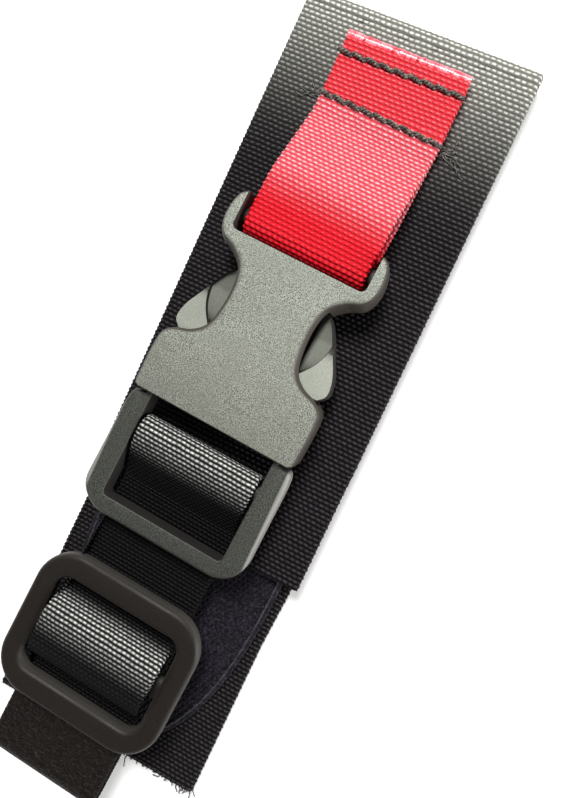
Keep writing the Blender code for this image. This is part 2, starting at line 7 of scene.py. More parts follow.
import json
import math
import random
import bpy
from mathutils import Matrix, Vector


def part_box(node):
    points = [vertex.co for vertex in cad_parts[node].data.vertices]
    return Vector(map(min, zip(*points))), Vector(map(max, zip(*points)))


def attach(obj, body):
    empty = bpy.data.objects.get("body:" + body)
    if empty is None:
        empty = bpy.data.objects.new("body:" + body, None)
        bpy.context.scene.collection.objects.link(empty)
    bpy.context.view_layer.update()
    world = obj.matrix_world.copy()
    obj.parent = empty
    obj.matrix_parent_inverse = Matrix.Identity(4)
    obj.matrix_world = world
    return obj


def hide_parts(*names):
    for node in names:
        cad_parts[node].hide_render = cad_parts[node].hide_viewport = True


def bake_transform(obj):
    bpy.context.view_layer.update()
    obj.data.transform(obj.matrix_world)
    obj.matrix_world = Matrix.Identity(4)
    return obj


bl_info = {
    "name": "Strap Tourniquet",
    "version": (1, 0, 0),
    "blender": (4, 5, 0),
    "location": "3D View > Sidebar > Tourniquet",
    "description": "Builds the webbing, buckle and stitching of a folded strap tourniquet",
    "category": "Add Mesh",
}

import bmesh
import bpy
import numpy as np
from mathutils import Matrix, Vector

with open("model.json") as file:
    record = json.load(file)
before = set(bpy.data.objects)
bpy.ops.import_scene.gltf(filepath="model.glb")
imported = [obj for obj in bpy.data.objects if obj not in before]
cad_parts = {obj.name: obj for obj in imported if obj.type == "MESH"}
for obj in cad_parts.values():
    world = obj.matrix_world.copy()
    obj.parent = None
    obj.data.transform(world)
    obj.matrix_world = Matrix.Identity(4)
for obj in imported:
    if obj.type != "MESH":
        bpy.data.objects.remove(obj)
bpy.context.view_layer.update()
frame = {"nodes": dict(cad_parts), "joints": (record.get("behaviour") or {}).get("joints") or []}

mm = 0.001
UP = Vector((0.0, 0.0, 1.0))
SWING = next(joint for joint in frame["joints"] if joint["name"] == "socket_swing")
BAR = Vector(SWING["pos_m"])
ACROSS = -Vector(SWING["axis"]).normalized()
ALONG = UP.cross(ACROSS)


def line_box(*names):
    """Lowest and highest corner of some nodes, as (across, along, height) on the buckle's line."""
    points = [v.co for name in names for v in frame["nodes"][name].data.vertices]
    places = np.array([((p - BAR).dot(ACROSS), (p - BAR).dot(ALONG), p.z) for p in points])
    return Vector(places.min(0)), Vector(places.max(0))


def on_line(places):
    """World points of an array of (across, along, height) places on the buckle's line."""
    base = np.array((BAR.x, BAR.y, 0.0))
    axes = np.array((ACROSS, ALONG, UP))
    return base + np.asarray(places) @ axes


def as_world(places):
    return np.asarray(places)


SOCKET = line_box("buckle_socket")
PLUG = line_box("plug_frame")
GLIDE = line_box("tri_glide")
STRAP = line_box("tension_strap")
ANCHOR = line_box("anchor_webbing")
TAIL_TAPE = line_box("tail_pile_tape")
UPPER_SEAM = sum(line_box("anchor_seam_upper"), Vector()) / 2
LOWER_SEAM = sum(line_box("anchor_seam_lower"), Vector()) / 2
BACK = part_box("band_back")
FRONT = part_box("band_front")
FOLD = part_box("band_fold")
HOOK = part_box("hook_patch")
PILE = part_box("pile_patch")
CLEAR = 0.3 * mm
NARROW = 25.2 * mm
SEAM_HALF = 12.9 * mm
THIN = 0.12 * mm
FUZZY_RELIEF = 0.05 * mm
EDGE_RELIEF = 1.3
FINE = 0.84
MOUTH = SOCKET[0].y
SHOULDER = MOUTH + 13.0 * mm
NECK = MOUTH + 30.0 * mm
SLOT_EDGE = MOUTH + 34.2 * mm
BAR_WIDE = 3.0 * mm
BAR_THICK = 2.4 * mm
GLIDE_BAR_WIDE = 4.8 * mm
GLIDE_BAR_THICK = 2.4 * mm
RAIL = 3.8 * mm
RED_PICK = 0.95


def length_prop(name, words, default):
    """A length that a user may change."""
    return bpy.props.FloatProperty(name=name, description=words, default=default, unit="LENGTH")


def colour_prop(name, words, default):
    """A colour that a user may change."""
    return bpy.props.FloatVectorProperty(
        name=name, description=words, default=default, subtype="COLOR", min=0.0, max=1.0,
    )


def place_prop(name, words, default):
    """A place that a user may change."""
    return bpy.props.FloatVectorProperty(
        name=name, description=words, default=default, subtype="XYZ", unit="LENGTH",
    )


class WebbingSizes(bpy.types.PropertyGroup):
    """Sizes and colours of the woven pieces."""

    knuckle: length_prop("Knuckle Width", "Width of one knuckle of yarn, across the webbing", 1.2 * mm)
    pick: length_prop("Row Pitch", "Distance from one crosswise row of yarn to the next", 0.92 * mm)
    relief: length_prop("Relief", "How far the knuckles stand out of the webbing", 0.13 * mm)
    band_thick: length_prop("Band Thickness", "Thickness of the wide band", 2.0 * mm)
    anchor_thick: length_prop("Anchor Thickness", "Thickness of the red webbing", 1.3 * mm)
    strap_thick: length_prop("Strap Thickness", "Thickness of the tension strap", 1.2 * mm)
    black: colour_prop("Black", "Colour of the black yarn", (0.0085, 0.0072, 0.0088))
    red: colour_prop("Red", "Colour of the red yarn", (0.95, 0.006, 0.020))


class PlasticSizes(bpy.types.PropertyGroup):
    """Sizes and colours of the moulded pieces."""

    rim: length_prop("Rim Rounding", "Rounding of the socket's rims", 1.0 * mm)
    grain: length_prop("Grain Size", "Size of the grain moulded into the plastic", 0.42 * mm)
    buckle: colour_prop("Buckle", "Colour of the buckle", (0.245, 0.256, 0.220))
    glide: colour_prop("Tri-glide", "Colour of the tri-glide", (0.0100, 0.0070, 0.0050))


class StageSizes(bpy.types.PropertyGroup):
    """The camera and the floor."""

    eye: place_prop("Camera Place", "Where the camera stands", (0.02649, 0.01529, 0.14219))
    aim: place_prop("Camera Aim", "The point that the camera looks at", (0.00637, 0.00739, 0.010))
    turn: bpy.props.FloatProperty(
        name="Camera Turn", description="How far the picture's up is turned from the band's",
        default=math.radians(25.5), unit="ROTATION",
    )
    lens: bpy.props.FloatProperty(
        name="Lens", description="Focal length on a 36 mm frame", default=31.48, unit="CAMERA",
    )
    floor: colour_prop("Floor", "Colour of the floor", (0.86, 0.855, 0.84))


def webbing_sizes():
    return bpy.context.scene.tourniquet_webbing


def plastic_sizes():
    return bpy.context.scene.tourniquet_plastic


def stage_sizes():
    return bpy.context.scene.tourniquet_stage


# Shader groups and materials


def maths(tree, operation, *values):
    """A Math node. Each value is a number or another node's output."""
    node = tree.nodes.new("ShaderNodeMath")
    node.operation = operation
    for slot, value in zip(node.inputs, values):
        if isinstance(value, (int, float)):
            slot.default_value = value
        else:
            tree.links.new(value, slot)
    return node.outputs[0]


def new_group(name, numbers, results):
    """A shader group that takes a Vector and named numbers, and gives named values."""
    group = bpy.data.node_groups.new(name, "ShaderNodeTree")
    group.interface.new_socket(name="Vector", in_out="INPUT", socket_type="NodeSocketVector")
    for label, default in numbers.items():
        made = group.interface.new_socket(name=label, in_out="INPUT", socket_type="NodeSocketFloat")
        made.default_value = default
    for label in results:
        group.interface.new_socket(name=label, in_out="OUTPUT", socket_type="NodeSocketFloat")
    return group, group.nodes.new("NodeGroupInput"), group.nodes.new("NodeGroupOutput")


def texture(tree, kind, vector, **values):
    """A procedural texture on a vector, with the given inputs set."""
    node = tree.nodes.new("ShaderNodeTex" + kind)
    tree.links.new(vector, node.inputs["Vector"])
    for name, value in values.items():
        node.inputs[name].default_value = value
    return node


def mapped(tree, value, low, high, from_low=0.0, from_high=1.0):
    """The value turned from one range to another, and held within it."""
    node = tree.nodes.new("ShaderNodeMapRange")
    tree.links.new(value, node.inputs["Value"])
    for name, limit in (
        ("From Min", from_low), ("From Max", from_high), ("To Min", low), ("To Max", high),
    ):
        node.inputs[name].default_value = limit
    return node.outputs[0]


def split(tree, vector):
    """The three parts of a vector."""
    node = tree.nodes.new("ShaderNodeSeparateXYZ")
    tree.links.new(vector, node.inputs[0])
    return node.outputs


def wave(tree, value):
    """Half a sine over each whole number of a value."""
    return maths(tree, "SINE", maths(tree, "MULTIPLY", maths(tree, "FRACT", value), math.pi))


def weave_group():
    """Crosswise rows of yarn with staggered knuckles between them, from a UV map in metres."""
    if "weave" in bpy.data.node_groups:
        return bpy.data.node_groups["weave"]
    group, given, result = new_group(
        "weave", {"Knuckle": 1.2 * mm, "Pick": 0.9 * mm, "Sharpness": 2.0},
        ("Height", "Crest", "Tone"),
    )
    vector = given.outputs["Vector"]
    place = split(group, vector)
    wander = texture(group, "Noise", vector, Scale=420.0, Detail=2.0).outputs[0]
    sway = maths(group, "MULTIPLY", maths(group, "SUBTRACT", wander, 0.5), 0.34)
    along = maths(group, "ADD", maths(group, "DIVIDE", place[1], given.outputs["Pick"]), sway)
    odd = maths(group, "FLOORED_MODULO", maths(group, "FLOOR", along), 2.0)
    across = maths(group, "DIVIDE", place[0], given.outputs["Knuckle"])
    across = maths(group, "ADD", maths(group, "MULTIPLY_ADD", odd, 0.5, across), sway)
    rib, tie = wave(group, along), wave(group, across)
    height = maths(group, "MULTIPLY", rib, maths(group, "MULTIPLY_ADD", tie, 0.7, 0.3))
    group.links.new(height, result.inputs["Height"])
    tie = maths(group, "POWER", tie, given.outputs["Sharpness"])
    crest = maths(group, "MULTIPLY", maths(group, "POWER", rib, 4.0), tie)
    group.links.new(crest, result.inputs["Crest"])
    patch = texture(group, "Noise", vector, Scale=900.0, Detail=3.0).outputs[0]
    group.links.new(patch, result.inputs["Tone"])
    return group


def grain_group():
    """The fine pitted grain of a moulded surface, from Object coordinates."""
    if "moulded_grain" in bpy.data.node_groups:
        return bpy.data.node_groups["moulded_grain"]
    group, given, result = new_group(
        "moulded_grain", {"Size": 0.4 * mm}, ("Height", "Speck", "Cloud"),
    )
    vector = given.outputs["Vector"]
    fine = texture(group, "Noise", vector, Detail=3.0, Roughness=0.62)
    scale = maths(group, "DIVIDE", 1.0, given.outputs["Size"])
    group.links.new(scale, fine.inputs["Scale"])
    group.links.new(fine.outputs[0], result.inputs["Height"])
    speck = mapped(group, fine.outputs[0], 0.0, 1.0, 0.36, 0.66)
    group.links.new(speck, result.inputs["Speck"])
    cloud = texture(group, "Noise", vector, Scale=110.0, Detail=4.0).outputs[0]
    group.links.new(cloud, result.inputs["Cloud"])
    return group


def fibre_group():
    """A tangle of brushed fibres, from Object coordinates."""
    if "fibres" in bpy.data.node_groups:
        return bpy.data.node_groups["fibres"]
    group, given, result = new_group("fibres", {}, ("Height", "Strand"))
    vector = given.outputs["Vector"]
    tangle = texture(group, "Noise", vector, Scale=1500.0, Detail=4.0, Distortion=1.6).outputs[0]
    tuft = texture(group, "Voronoi", vector, Scale=850.0).outputs["Distance"]
    group.links.new(maths(group, "MULTIPLY_ADD", tuft, -0.5, tangle), result.inputs["Height"])
    group.links.new(mapped(group, tangle, 0.0, 1.0, 0.45, 0.72), result.inputs["Strand"])
    return group


def start_material(name, roughness, gloss=0.5, sheen=0.0):
    """A material, its tree and its Principled shader."""
    made = bpy.data.materials.new(name)
    made.use_nodes = True
    shader = made.node_tree.nodes["Principled BSDF"]
    shader.inputs["Roughness"].default_value = roughness
    shader.inputs["Specular IOR Level"].default_value = gloss
    shader.inputs["Sheen Weight"].default_value = sheen
    shader.inputs["Sheen Roughness"].default_value = 0.4
    return made, made.node_tree, shader


def add_group(tree, group, vector=None, **values):
    """A shader group on a vector, or on the piece's Object coordinates."""
    node = tree.nodes.new("ShaderNodeGroup")
    node.node_tree = group
    if vector is None:
        vector = tree.nodes.new("ShaderNodeTexCoord").outputs["Object"]
    tree.links.new(vector, node.inputs["Vector"])
    for name, value in values.items():
        node.inputs[name].default_value = value
    return node.outputs


def mixed(tree, factor, low, high):
    """A colour between two colours, each given as three numbers or another node's output."""
    node = tree.nodes.new("ShaderNodeMix")
    node.data_type = "RGBA"
    tree.links.new(factor, node.inputs[0])
    for slot, value in ((node.inputs[6], low), (node.inputs[7], high)):
        if isinstance(value, bpy.types.NodeSocket):
            tree.links.new(value, slot)
        else:
            slot.default_value = (*value, 1.0)
    return node.outputs[2]


def bumped(tree, shader, height, distance, strength=1.0, under=None):
    """A bump from a height, over another bump where one is given."""
    node = tree.nodes.new("ShaderNodeBump")
    node.inputs["Distance"].default_value = distance
    node.inputs["Strength"].default_value = strength
    tree.links.new(height, node.inputs["Height"])
    if under is not None:
        tree.links.new(under, node.inputs["Normal"])
    tree.links.new(node.outputs[0], shader.inputs["Normal"])
    return node.outputs[0]


def shaded(colour, factor):
    return tuple(min(1.0, channel * factor) for channel in colour)


def woven_material(name, groove_shade, crest, glare_crest, glare_groove, pick, depth, gloss=0.06, smooth=0.3,
                   rough=0.62, sharpness=1.3, fineness=1.0):
    """Yarn: dark in the grooves, brighter and smoother on the crests.

    The yarn is painted paler with the mesh's own wear attribute: painted glare, where the webbing should
    catch the light.
    """
    if name in bpy.data.materials:
        return bpy.data.materials[name]
    made, tree, shader = start_material(name, smooth, gloss)
    uv = tree.nodes.new("ShaderNodeUVMap")
    uv.uv_map = "weave"
    knuckle = fineness * webbing_sizes().knuckle
    weave = add_group(
        tree, weave_group(), uv.outputs[0], Knuckle=knuckle, Pick=pick, Sharpness=sharpness,
    )
    wear = tree.nodes.new("ShaderNodeAttribute")
    wear.attribute_name = "wear"
    # Painted glare: where the wear attribute is set, the grooves and crests take their glare colours.
    ground = mixed(tree, wear.outputs["Fac"], groove_shade, glare_groove)
    knuckle_colour = mixed(tree, wear.outputs["Fac"], crest, glare_crest)
    # Painted light: the crests take the painted highlight colour, the grooves the painted shade.
    yarn_colour = mixed(tree, weave["Crest"], ground, knuckle_colour)
    tone = mapped(tree, weave["Tone"], 0.0, 0.55, 0.38, 0.72)
    tree.links.new(mixed(tree, tone, yarn_colour, ground), shader.inputs["Base Color"])
    tree.links.new(mapped(tree, weave["Crest"], rough, smooth), shader.inputs["Roughness"])
    yarn = texture(tree, "Wave", uv.outputs[0], Scale=1700.0, Distortion=1.5)
    yarn.bands_direction = "DIAGONAL"
    fine = bumped(tree, shader, yarn.outputs["Fac"], 0.02 * mm, 0.5)
    bumped(tree, shader, weave["Height"], depth, 1.0, fine)
    return made


# Band yarn: painted shade in the grooves, a painted highlight on the crests, and near-white painted
# glare towards the fold.
def band_material():
    sizes = webbing_sizes()
    return woven_material(
        "band_yarn", shaded(sizes.black, 0.22), (0.056, 0.048, 0.054), (1.0, 1.0, 0.95),
        (0.17, 0.17, 0.145), sizes.pick, 0.24 * mm, sharpness=0.8,
    )


# Strap yarn: painted shade in the grooves, a painted highlight on the crests, and a bright painted
# highlight on the humps.
def strap_material():
    sizes = webbing_sizes()
    return woven_material(
        "strap_yarn", shaded(sizes.black, 0.2), (0.010, 0.009, 0.010), (0.80, 0.80, 0.77),
        (0.006, 0.006, 0.006), FINE * sizes.pick, 0.26 * mm, sharpness=0.7, fineness=FINE,
    )


# Red yarn: painted shade in the grooves, a painted highlight on the crests, and pink painted glare on
# the loop.
def red_material():
    sizes = webbing_sizes()
    return woven_material(
        "red_yarn", shaded(sizes.red, 0.58), (1.0, 0.030, 0.050), (0.88, 0.56, 0.60),
        (0.62, 0.050, 0.070), RED_PICK * sizes.pick, 0.22 * mm, 0.16, 0.33, 0.6, 0.9,
    )


def fibre_material(name, deep, tip, relief, rough=0.5, gloss=0.5, sheen=0.2):
    """Fibres: brushed pile, hook nylon or thread."""
    if name in bpy.data.materials:
        return bpy.data.materials[name]
    made, tree, shader = start_material(name, rough, gloss, sheen)
    fibres = add_group(tree, fibre_group())
    tree.links.new(mixed(tree, fibres["Strand"], deep, tip), shader.inputs["Base Color"])
    bumped(tree, shader, fibres["Height"], relief)
    return made


def pile_material():
    return fibre_material(
        "pile_fibres", (0.003, 0.0018, 0.0012), (0.014, 0.0085, 0.0055), 0.35 * mm, 0.9, 0.12, 0.12,
    )


def hook_material():
    return fibre_material(
        "hook_nylon", (0.0020, 0.0015, 0.0030), (0.040, 0.031, 0.050), 0.18 * mm, 0.6, 0.12, 0.12,
    )


def black_thread():
    return fibre_material("black_thread", (0.006, 0.006, 0.006), (0.30, 0.28, 0.22), 0.06 * mm)


def dark_thread():
    return fibre_material("dark_thread", (0.004, 0.004, 0.005), (0.030, 0.026, 0.032), 0.06 * mm)


def worn_thread():
    return fibre_material("worn_thread", (0.012, 0.011, 0.010), (0.30, 0.28, 0.25), 0.06 * mm, 0.55)


def moulded_material(name, colour, painted_wall_shading, grain, depth, rough, contrast, steep=0.45, top=None):
    """Moulded plastic with a pitted grain, painted as lit on its top and with painted shading on its
    walls.

    Where a top is given, only the surfaces near that height are painted as lit, and less so towards the
    mouth.
    """
    if name in bpy.data.materials:
        return bpy.data.materials[name]
    made, tree, shader = start_material(name, rough, 0.18)
    place = tree.nodes.new("ShaderNodeTexCoord").outputs
    pits = add_group(tree, grain_group(), place["Object"], Size=grain)
    speckled = mixed(
        tree, pits["Speck"], shaded(colour, 1 - contrast), shaded(colour, 1 + contrast),
    )
    cloud = mapped(tree, pits["Cloud"], 0.0, 0.5, 0.35, 0.7)
    painted_lit = mixed(tree, cloud, speckled, shaded(colour, 0.8))
    # Painted light: upward surfaces take the lit colour, steep walls the painted wall shading.
    facing = mapped(tree, split(tree, place["Normal"])[2], 0.0, 1.0, steep, 0.97)
    if top is not None:
        spot = split(tree, place["Object"])
        near_top = mapped(tree, spot[2], 0.0, 1.0, top - 2.4 * mm, top - 1.0 * mm)
        from_mouth = mapped(tree, spot[1], 0.62, 1.0, BAR.y - 36.0 * mm, BAR.y - 6.0 * mm)
        facing = maths(tree, "MULTIPLY", maths(tree, "MULTIPLY", facing, near_top), from_mouth)
    tree.links.new(mixed(tree, facing, painted_wall_shading, painted_lit), shader.inputs["Base Color"])
    roughness = mapped(tree, pits["Cloud"], rough - 0.06, rough + 0.08, 0.3, 0.7)
    tree.links.new(roughness, shader.inputs["Roughness"])
    bumped(tree, shader, pits["Height"], depth)
    return made


# The socket: a paler copy of the buckle colour as painted highlight, with painted shade on its walls and
# low rims.
def buckle_material():
    sizes = plastic_sizes()
    painted_wall_shading = (0.050, 0.043, 0.036)
    return moulded_material(
        "moulded_buckle", shaded(sizes.buckle, 1.14), painted_wall_shading, 0.5 * sizes.grain, 0.07 * mm, 0.46, 0.85,
        0.68, SOCKET[1].z,
    )


# The paddles: a paler copy of the buckle colour as painted highlight, with painted shade on their steep
# facets.
def paddle_material():
    sizes = plastic_sizes()
    painted_wall_shading = (0.030, 0.028, 0.025)
    return moulded_material(
        "moulded_paddle", shaded(sizes.buckle, 1.25), painted_wall_shading, 0.6 * sizes.grain, 0.02 * mm, 0.42, 0.15,
        0.72,
    )


# The frame: a darker copy of the buckle colour as painted shade, with darker painted shade on its walls.
def frame_material():
    sizes = plastic_sizes()
    painted_wall_shading = (0.030, 0.028, 0.026)
    made = moulded_material(
        "moulded_frame", shaded(sizes.buckle, 0.22), painted_wall_shading, 0.6 * sizes.grain, 0.06 * mm, 0.36, 0.8,
        0.3,
    )
    painted_flank_highlight(made, (0.25, 0.245, 0.23))
    return made


def painted_flank_highlight(material, colour):
    """Make the two outer sides of the plug's frame paler, as a painted highlight."""
    tree = material.node_tree
    base = tree.nodes["Principled BSDF"].inputs["Base Color"]
    place = tree.nodes.new("ShaderNodeTexCoord").outputs["Object"]
    middle = BAR.x + ALONG.x * (PLUG[0].y + SOCKET[0].y) / 2
    away = maths(tree, "ABSOLUTE", maths(tree, "SUBTRACT", split(tree, place)[0], middle))
    flank = mapped(tree, away, 0.0, 1.0, PLUG[1].x - 0.1 * mm, PLUG[1].x + 0.5 * mm)
    tree.links.new(mixed(tree, flank, base.links[0].from_socket, colour), base)


# The tri-glide: its steep walls take a paler colour than its top, a painted highlight on its rims.
def glide_material():
    sizes = plastic_sizes()
    return moulded_material(
        "moulded_glide", shaded(sizes.glide, 0.8), (0.050, 0.046, 0.041), 0.7 * sizes.grain, 0.04 * mm,
        0.48, 0.5, 0.2,
    )


# Making meshes


def object_of(bm, name, material):
    mesh = bpy.data.meshes.new(name)
    bm.to_mesh(mesh)
    bm.free()
    mesh.materials.append(material)
    made = bpy.data.objects.new(name, mesh)
    bpy.context.scene.collection.objects.link(made)
    return made


def smooth_shaded(made, angle=38.0):
    made.data.shade_smooth()
    made.data.set_sharp_from_angle(angle=math.radians(angle))
    return made


def placed(bm, place):
    """Move a bmesh from the buckle's line to the world."""
    spots = place(np.array([v.co for v in bm.verts]))
    for vertex, spot in zip(bm.verts, spots):
        vertex.co = spot
    bmesh.ops.recalc_face_normals(bm, faces=bm.faces)


def fitted(made, body, slot, *nodes):
    """Put a piece on the body that carries it, and hide the nodes that it stands for. The slot, its
    finish, is not used.
    """
    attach(made, body)
    if nodes:
        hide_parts(*nodes)
    return made


def arc(centre, radius, start, end, steps):
    angles = [math.radians(start + (end - start) * step / steps) for step in range(steps + 1)]
    return [(centre[0] + radius * math.cos(a), centre[1] + radius * math.sin(a)) for a in angles]


def smooth_through(points, steps=5):
    """A centripetal curve through the points, which starts and ends on them."""
    known = [Vector(p) for p in points]
    known = [2 * known[0] - known[1], *known, 2 * known[-1] - known[-2]]
    curve = []
    for a, b, c, d in zip(known, known[1:], known[2:], known[3:]):
        at_b = math.sqrt((b - a).length)
        at_c = at_b + math.sqrt((c - b).length)
        at_d = at_c + math.sqrt((d - c).length)
        for step in range(steps):
            at = at_b + (at_c - at_b) * step / steps
            ab = a.lerp(b, at / at_b)
            bc = b.lerp(c, (at - at_b) / (at_c - at_b))
            cd = c.lerp(d, (at - at_c) / (at_d - at_c))
            abc = ab.lerp(bc, at / at_c)
            bcd = bc.lerp(cd, (at - at_b) / (at_d - at_b))
            curve.append(abc.lerp(bcd, (at - at_b) / (at_c - at_b)))
    curve.append(known[-2])
    return curve


def rounded_route(corners, step_angle=7.5):
    """A polyline of (along, height, radius) with each inner corner replaced by an arc."""
    route = [Vector(corners[0][:2])]
    for before, here, after in zip(corners, corners[1:], corners[2:]):
        corner = Vector(here[:2])
        back = (Vector(before[:2]) - corner).normalized()
        ahead = (Vector(after[:2]) - corner).normalized()
        turn = math.pi - back.angle(ahead)
        centre = corner + (back + ahead).normalized() * here[2] / math.cos(turn / 2)
        spoke = corner + back * here[2] * math.tan(turn / 2) - centre
        side = 1.0 if back.x * ahead.y - back.y * ahead.x < 0 else -1.0
        steps = max(2, math.ceil(math.degrees(turn) / step_angle))
        for step in range(steps + 1):
            route.append(centre + Matrix.Rotation(side * turn * step / steps, 2) @ spoke)
    route.append(Vector(corners[-1][:2]))
    apart = [here for here, after in zip(route, route[1:]) if (after - here).length > 0.01 * mm]
    return [*apart, route[-1]]


def resampled(route, step):
    """Even stations along a route: their places, tangents, and distances from the start."""
    points = np.array([tuple(p) for p in route])
    lengths = np.concatenate([[0.0], np.cumsum(np.linalg.norm(np.diff(points, axis=0), axis=1))])
    count = max(2, int(round(lengths[-1] / step)) + 1)
    at = np.linspace(0.0, lengths[-1], count)
    centres = np.stack([np.interp(at, lengths, points[:, k]) for k in range(2)], axis=1)
    tangents = np.gradient(centres, at, axis=0)
    tangents /= np.linalg.norm(tangents, axis=1)[:, None]
    return centres, tangents, at


def knuckles(u, v, knuckle, pick):
    """Height of the weave, 0 to 1: crosswise rows with staggered knuckles between them."""
    row = np.floor(v / pick)
    across = u / knuckle + 0.5 * np.mod(row, 2)
    rib = np.sin(np.pi * np.mod(v / pick, 1.0))
    tie = np.sin(np.pi * np.mod(across, 1.0))
    return rib * (0.3 + 0.7 * tie)


def section_of(width, thick, spacing, under):
    """The webbing's section as rows of (across, up, normal across, normal up, distance round)."""
    radius = thick / 2
    flat = width / 2 - radius
    turns = 6
    rows = []
    for side, count in ((1, int(round(2 * flat / spacing))), (-1, under)):
        for k in range(count + 1):
            rows.append((side * flat * (2 * k / count - 1), side * radius, 0.0, side))
        for k in range(1, turns):
            angle = math.radians(90 * side - 180 * k / turns)
            c, s = math.cos(angle), math.sin(angle)
            rows.append((side * flat + radius * c, radius * s, c, s))
    rows = np.array(rows)
    loop = np.vstack([rows, rows[:1]])
    steps = np.linalg.norm(np.diff(loop[:, :2], axis=0), axis=1)
    around = np.concatenate([[0.0], np.cumsum(steps)]) - flat
    return np.column_stack([loop, around])


def woven(name, material, route, width, thick, place, pick, spacing=0.3 * mm, step=0.23 * mm,
          under=24, relief=None, start=0.0, shape=None, wear=None, fineness=1.0):
    """Webbing along a route of (along, height) points: a grid wrapped round the webbing's section.

    Spacing is the grid's pitch across the top and step its pitch along the webbing. The weave
    counts from start, so that it runs on from one piece to the next.
    """
    sizes = webbing_sizes()
    relief = sizes.relief if relief is None else relief
    centres, tangents, at = resampled(route, step)
    section = section_of(width, thick, spacing, under)
    rows, columns = len(at) - 1, len(section) - 1
    bm = bmesh.new()
    bm.loops.layers.uv.new("weave")
    bmesh.ops.create_grid(bm, x_segments=columns, y_segments=rows, size=0.5, calc_uvs=True)
    made = object_of(bm, name, material)
    mesh = made.data
    flat = np.empty(len(mesh.vertices) * 3, np.float32)
    mesh.vertices.foreach_get("co", flat)
    flat = flat.reshape(-1, 3)
    column = np.rint((flat[:, 0] + 0.5) * columns).astype(int)
    row = np.rint((flat[:, 1] + 0.5) * rows).astype(int)
    x, up, out_x, out_up, around = section[column].T
    height = knuckles(around, at[row] + start, fineness * sizes.knuckle, pick) - 0.5
    height *= relief * (1 + EDGE_RELIEF * np.abs(out_x))
    x = x + out_x * height
    up = up + out_up * height
    if shape is not None:
        x, up = shape(x, up, at[row])
    y = centres[row, 0] - tangents[row, 1] * up
    z = centres[row, 1] + tangents[row, 0] * up
    # Painted glare: a mask from 0 to 1 of where the yarn is painted paler, as if it caught the light.
    if wear is not None:
        painted_lit = np.clip(wear(y, z), 0.0, 1.0).astype(np.float32)
        mesh.attributes.new("wear", "FLOAT", "POINT").data.foreach_set("value", painted_lit)
    spots = place(np.stack([x, y, z], axis=1))
    mesh.vertices.foreach_set("co", spots.astype(np.float32).ravel())
    lay_weave(mesh, section[:, 4], at + start)
    close_webbing(mesh)
    return smooth_shaded(made, 60.0)


def lay_weave(mesh, around, along):
    """Turn the grid's UV map into distances round and along the webbing, in metres."""
    layer = mesh.uv_layers["weave"].data
    uv = np.empty(len(mesh.loops) * 2, np.float32)
    layer.foreach_get("uv", uv)
    uv = uv.reshape(-1, 2)
    across_at = around[np.rint(uv[:, 0] * (len(around) - 1)).astype(int)]
    along_at = along[np.rint(uv[:, 1] * (len(along) - 1)).astype(int)]
    layer.foreach_set("uv", np.stack([across_at, along_at], axis=1).astype(np.float32).ravel())


def close_webbing(mesh):
    """Join the grid's two long sides, and close its ends."""
    bm = bmesh.new()
    bm.from_mesh(mesh)
    bmesh.ops.remove_doubles(bm, verts=bm.verts, dist=0.001 * mm)
    bmesh.ops.holes_fill(bm, edges=[e for e in bm.edges if e.is_boundary], sides=0)
    bmesh.ops.recalc_face_normals(bm, faces=bm.faces)
    bm.to_mesh(mesh)
    bm.free()


def raised(outline, low, high):
    """An outline in the XY plane raised from low to high."""
    bm = bmesh.new()
    face = bm.faces.new([bm.verts.new((x, y, low)) for x, y in outline])
    top = bmesh.ops.extrude_face_region(bm, geom=[face])
    verts = [item for item in top["geom"] if isinstance(item, bmesh.types.BMVert)]
    bmesh.ops.translate(bm, verts=verts, vec=(0.0, 0.0, high - low))
    bmesh.ops.recalc_face_normals(bm, faces=bm.faces)
    return bm


def flat_rims(bm):
    return [e for e in bm.edges if abs(e.verts[0].co.z - e.verts[1].co.z) < 1e-7]


def lofted(rings):
    """A closed body through rings of the same number of points."""
    bm = bmesh.new()
    loops = []
    for ring in rings:
        verts = [bm.verts.new(p) for p in ring]
        loops.append([bm.edges.new(pair) for pair in zip(verts, verts[1:] + verts[:1])])
    for loop, following in zip(loops, loops[1:]):
        bmesh.ops.bridge_loops(bm, edges=loop + following)
    bmesh.ops.holes_fill(bm, edges=[e for e in bm.edges if e.is_boundary], sides=0)
    bmesh.ops.recalc_face_normals(bm, faces=bm.faces)
    return bm


def rolled(outline, low, high, reach, drop):
    """A body with its rims rolled over: reach gives how far in the roll goes at a place."""
    points = np.array(outline)
    behind = points - np.roll(points, 1, axis=0)
    ahead = np.roll(points, -1, axis=0) - points
    behind /= np.linalg.norm(behind, axis=1)[:, None]
    ahead /= np.linalg.norm(ahead, axis=1)[:, None]
    tangent = behind + ahead
    tangent /= np.linalg.norm(tangent, axis=1)[:, None]
    miter = np.clip(1 / np.sum(tangent * ahead, axis=1), 1.0, 1.4)
    inward = np.stack([-tangent[:, 1], tangent[:, 0]], axis=1) * miter[:, None]
    reaches = np.array([reach(x, y) for x, y in points])[:, None]
    steps = 6
    rings = []
    for side, start, end in ((-1, steps, 0), (1, 0, steps)):
        level = low if side < 0 else high
        for step in range(start, end + side, side):
            angle = math.pi / 2 * step / steps
            spots = points + inward * reaches * (1 - math.cos(angle))
            z = level - side * drop * reaches[:, 0] * (1 - math.sin(angle))
            rings.append([Vector((x, y, height)) for (x, y), height in zip(spots, z)])
    return lofted(rings)


def rounded_rectangle(width, length, corner, centre_y=0.0, steps=8):
    """An outline with four round corners, as points that run anticlockwise."""
    x, y = width / 2 - corner, length / 2 - corner
    points = []
    for turn, (side, end) in enumerate(((1, 1), (-1, 1), (-1, -1), (1, -1))):
        points += arc((side * x, centre_y + end * y), corner, 90 * turn, 90 * turn + 90, steps)
    return points


def mirrored(half):
    return list(half) + [(-x, y) for x, y in reversed(half)]


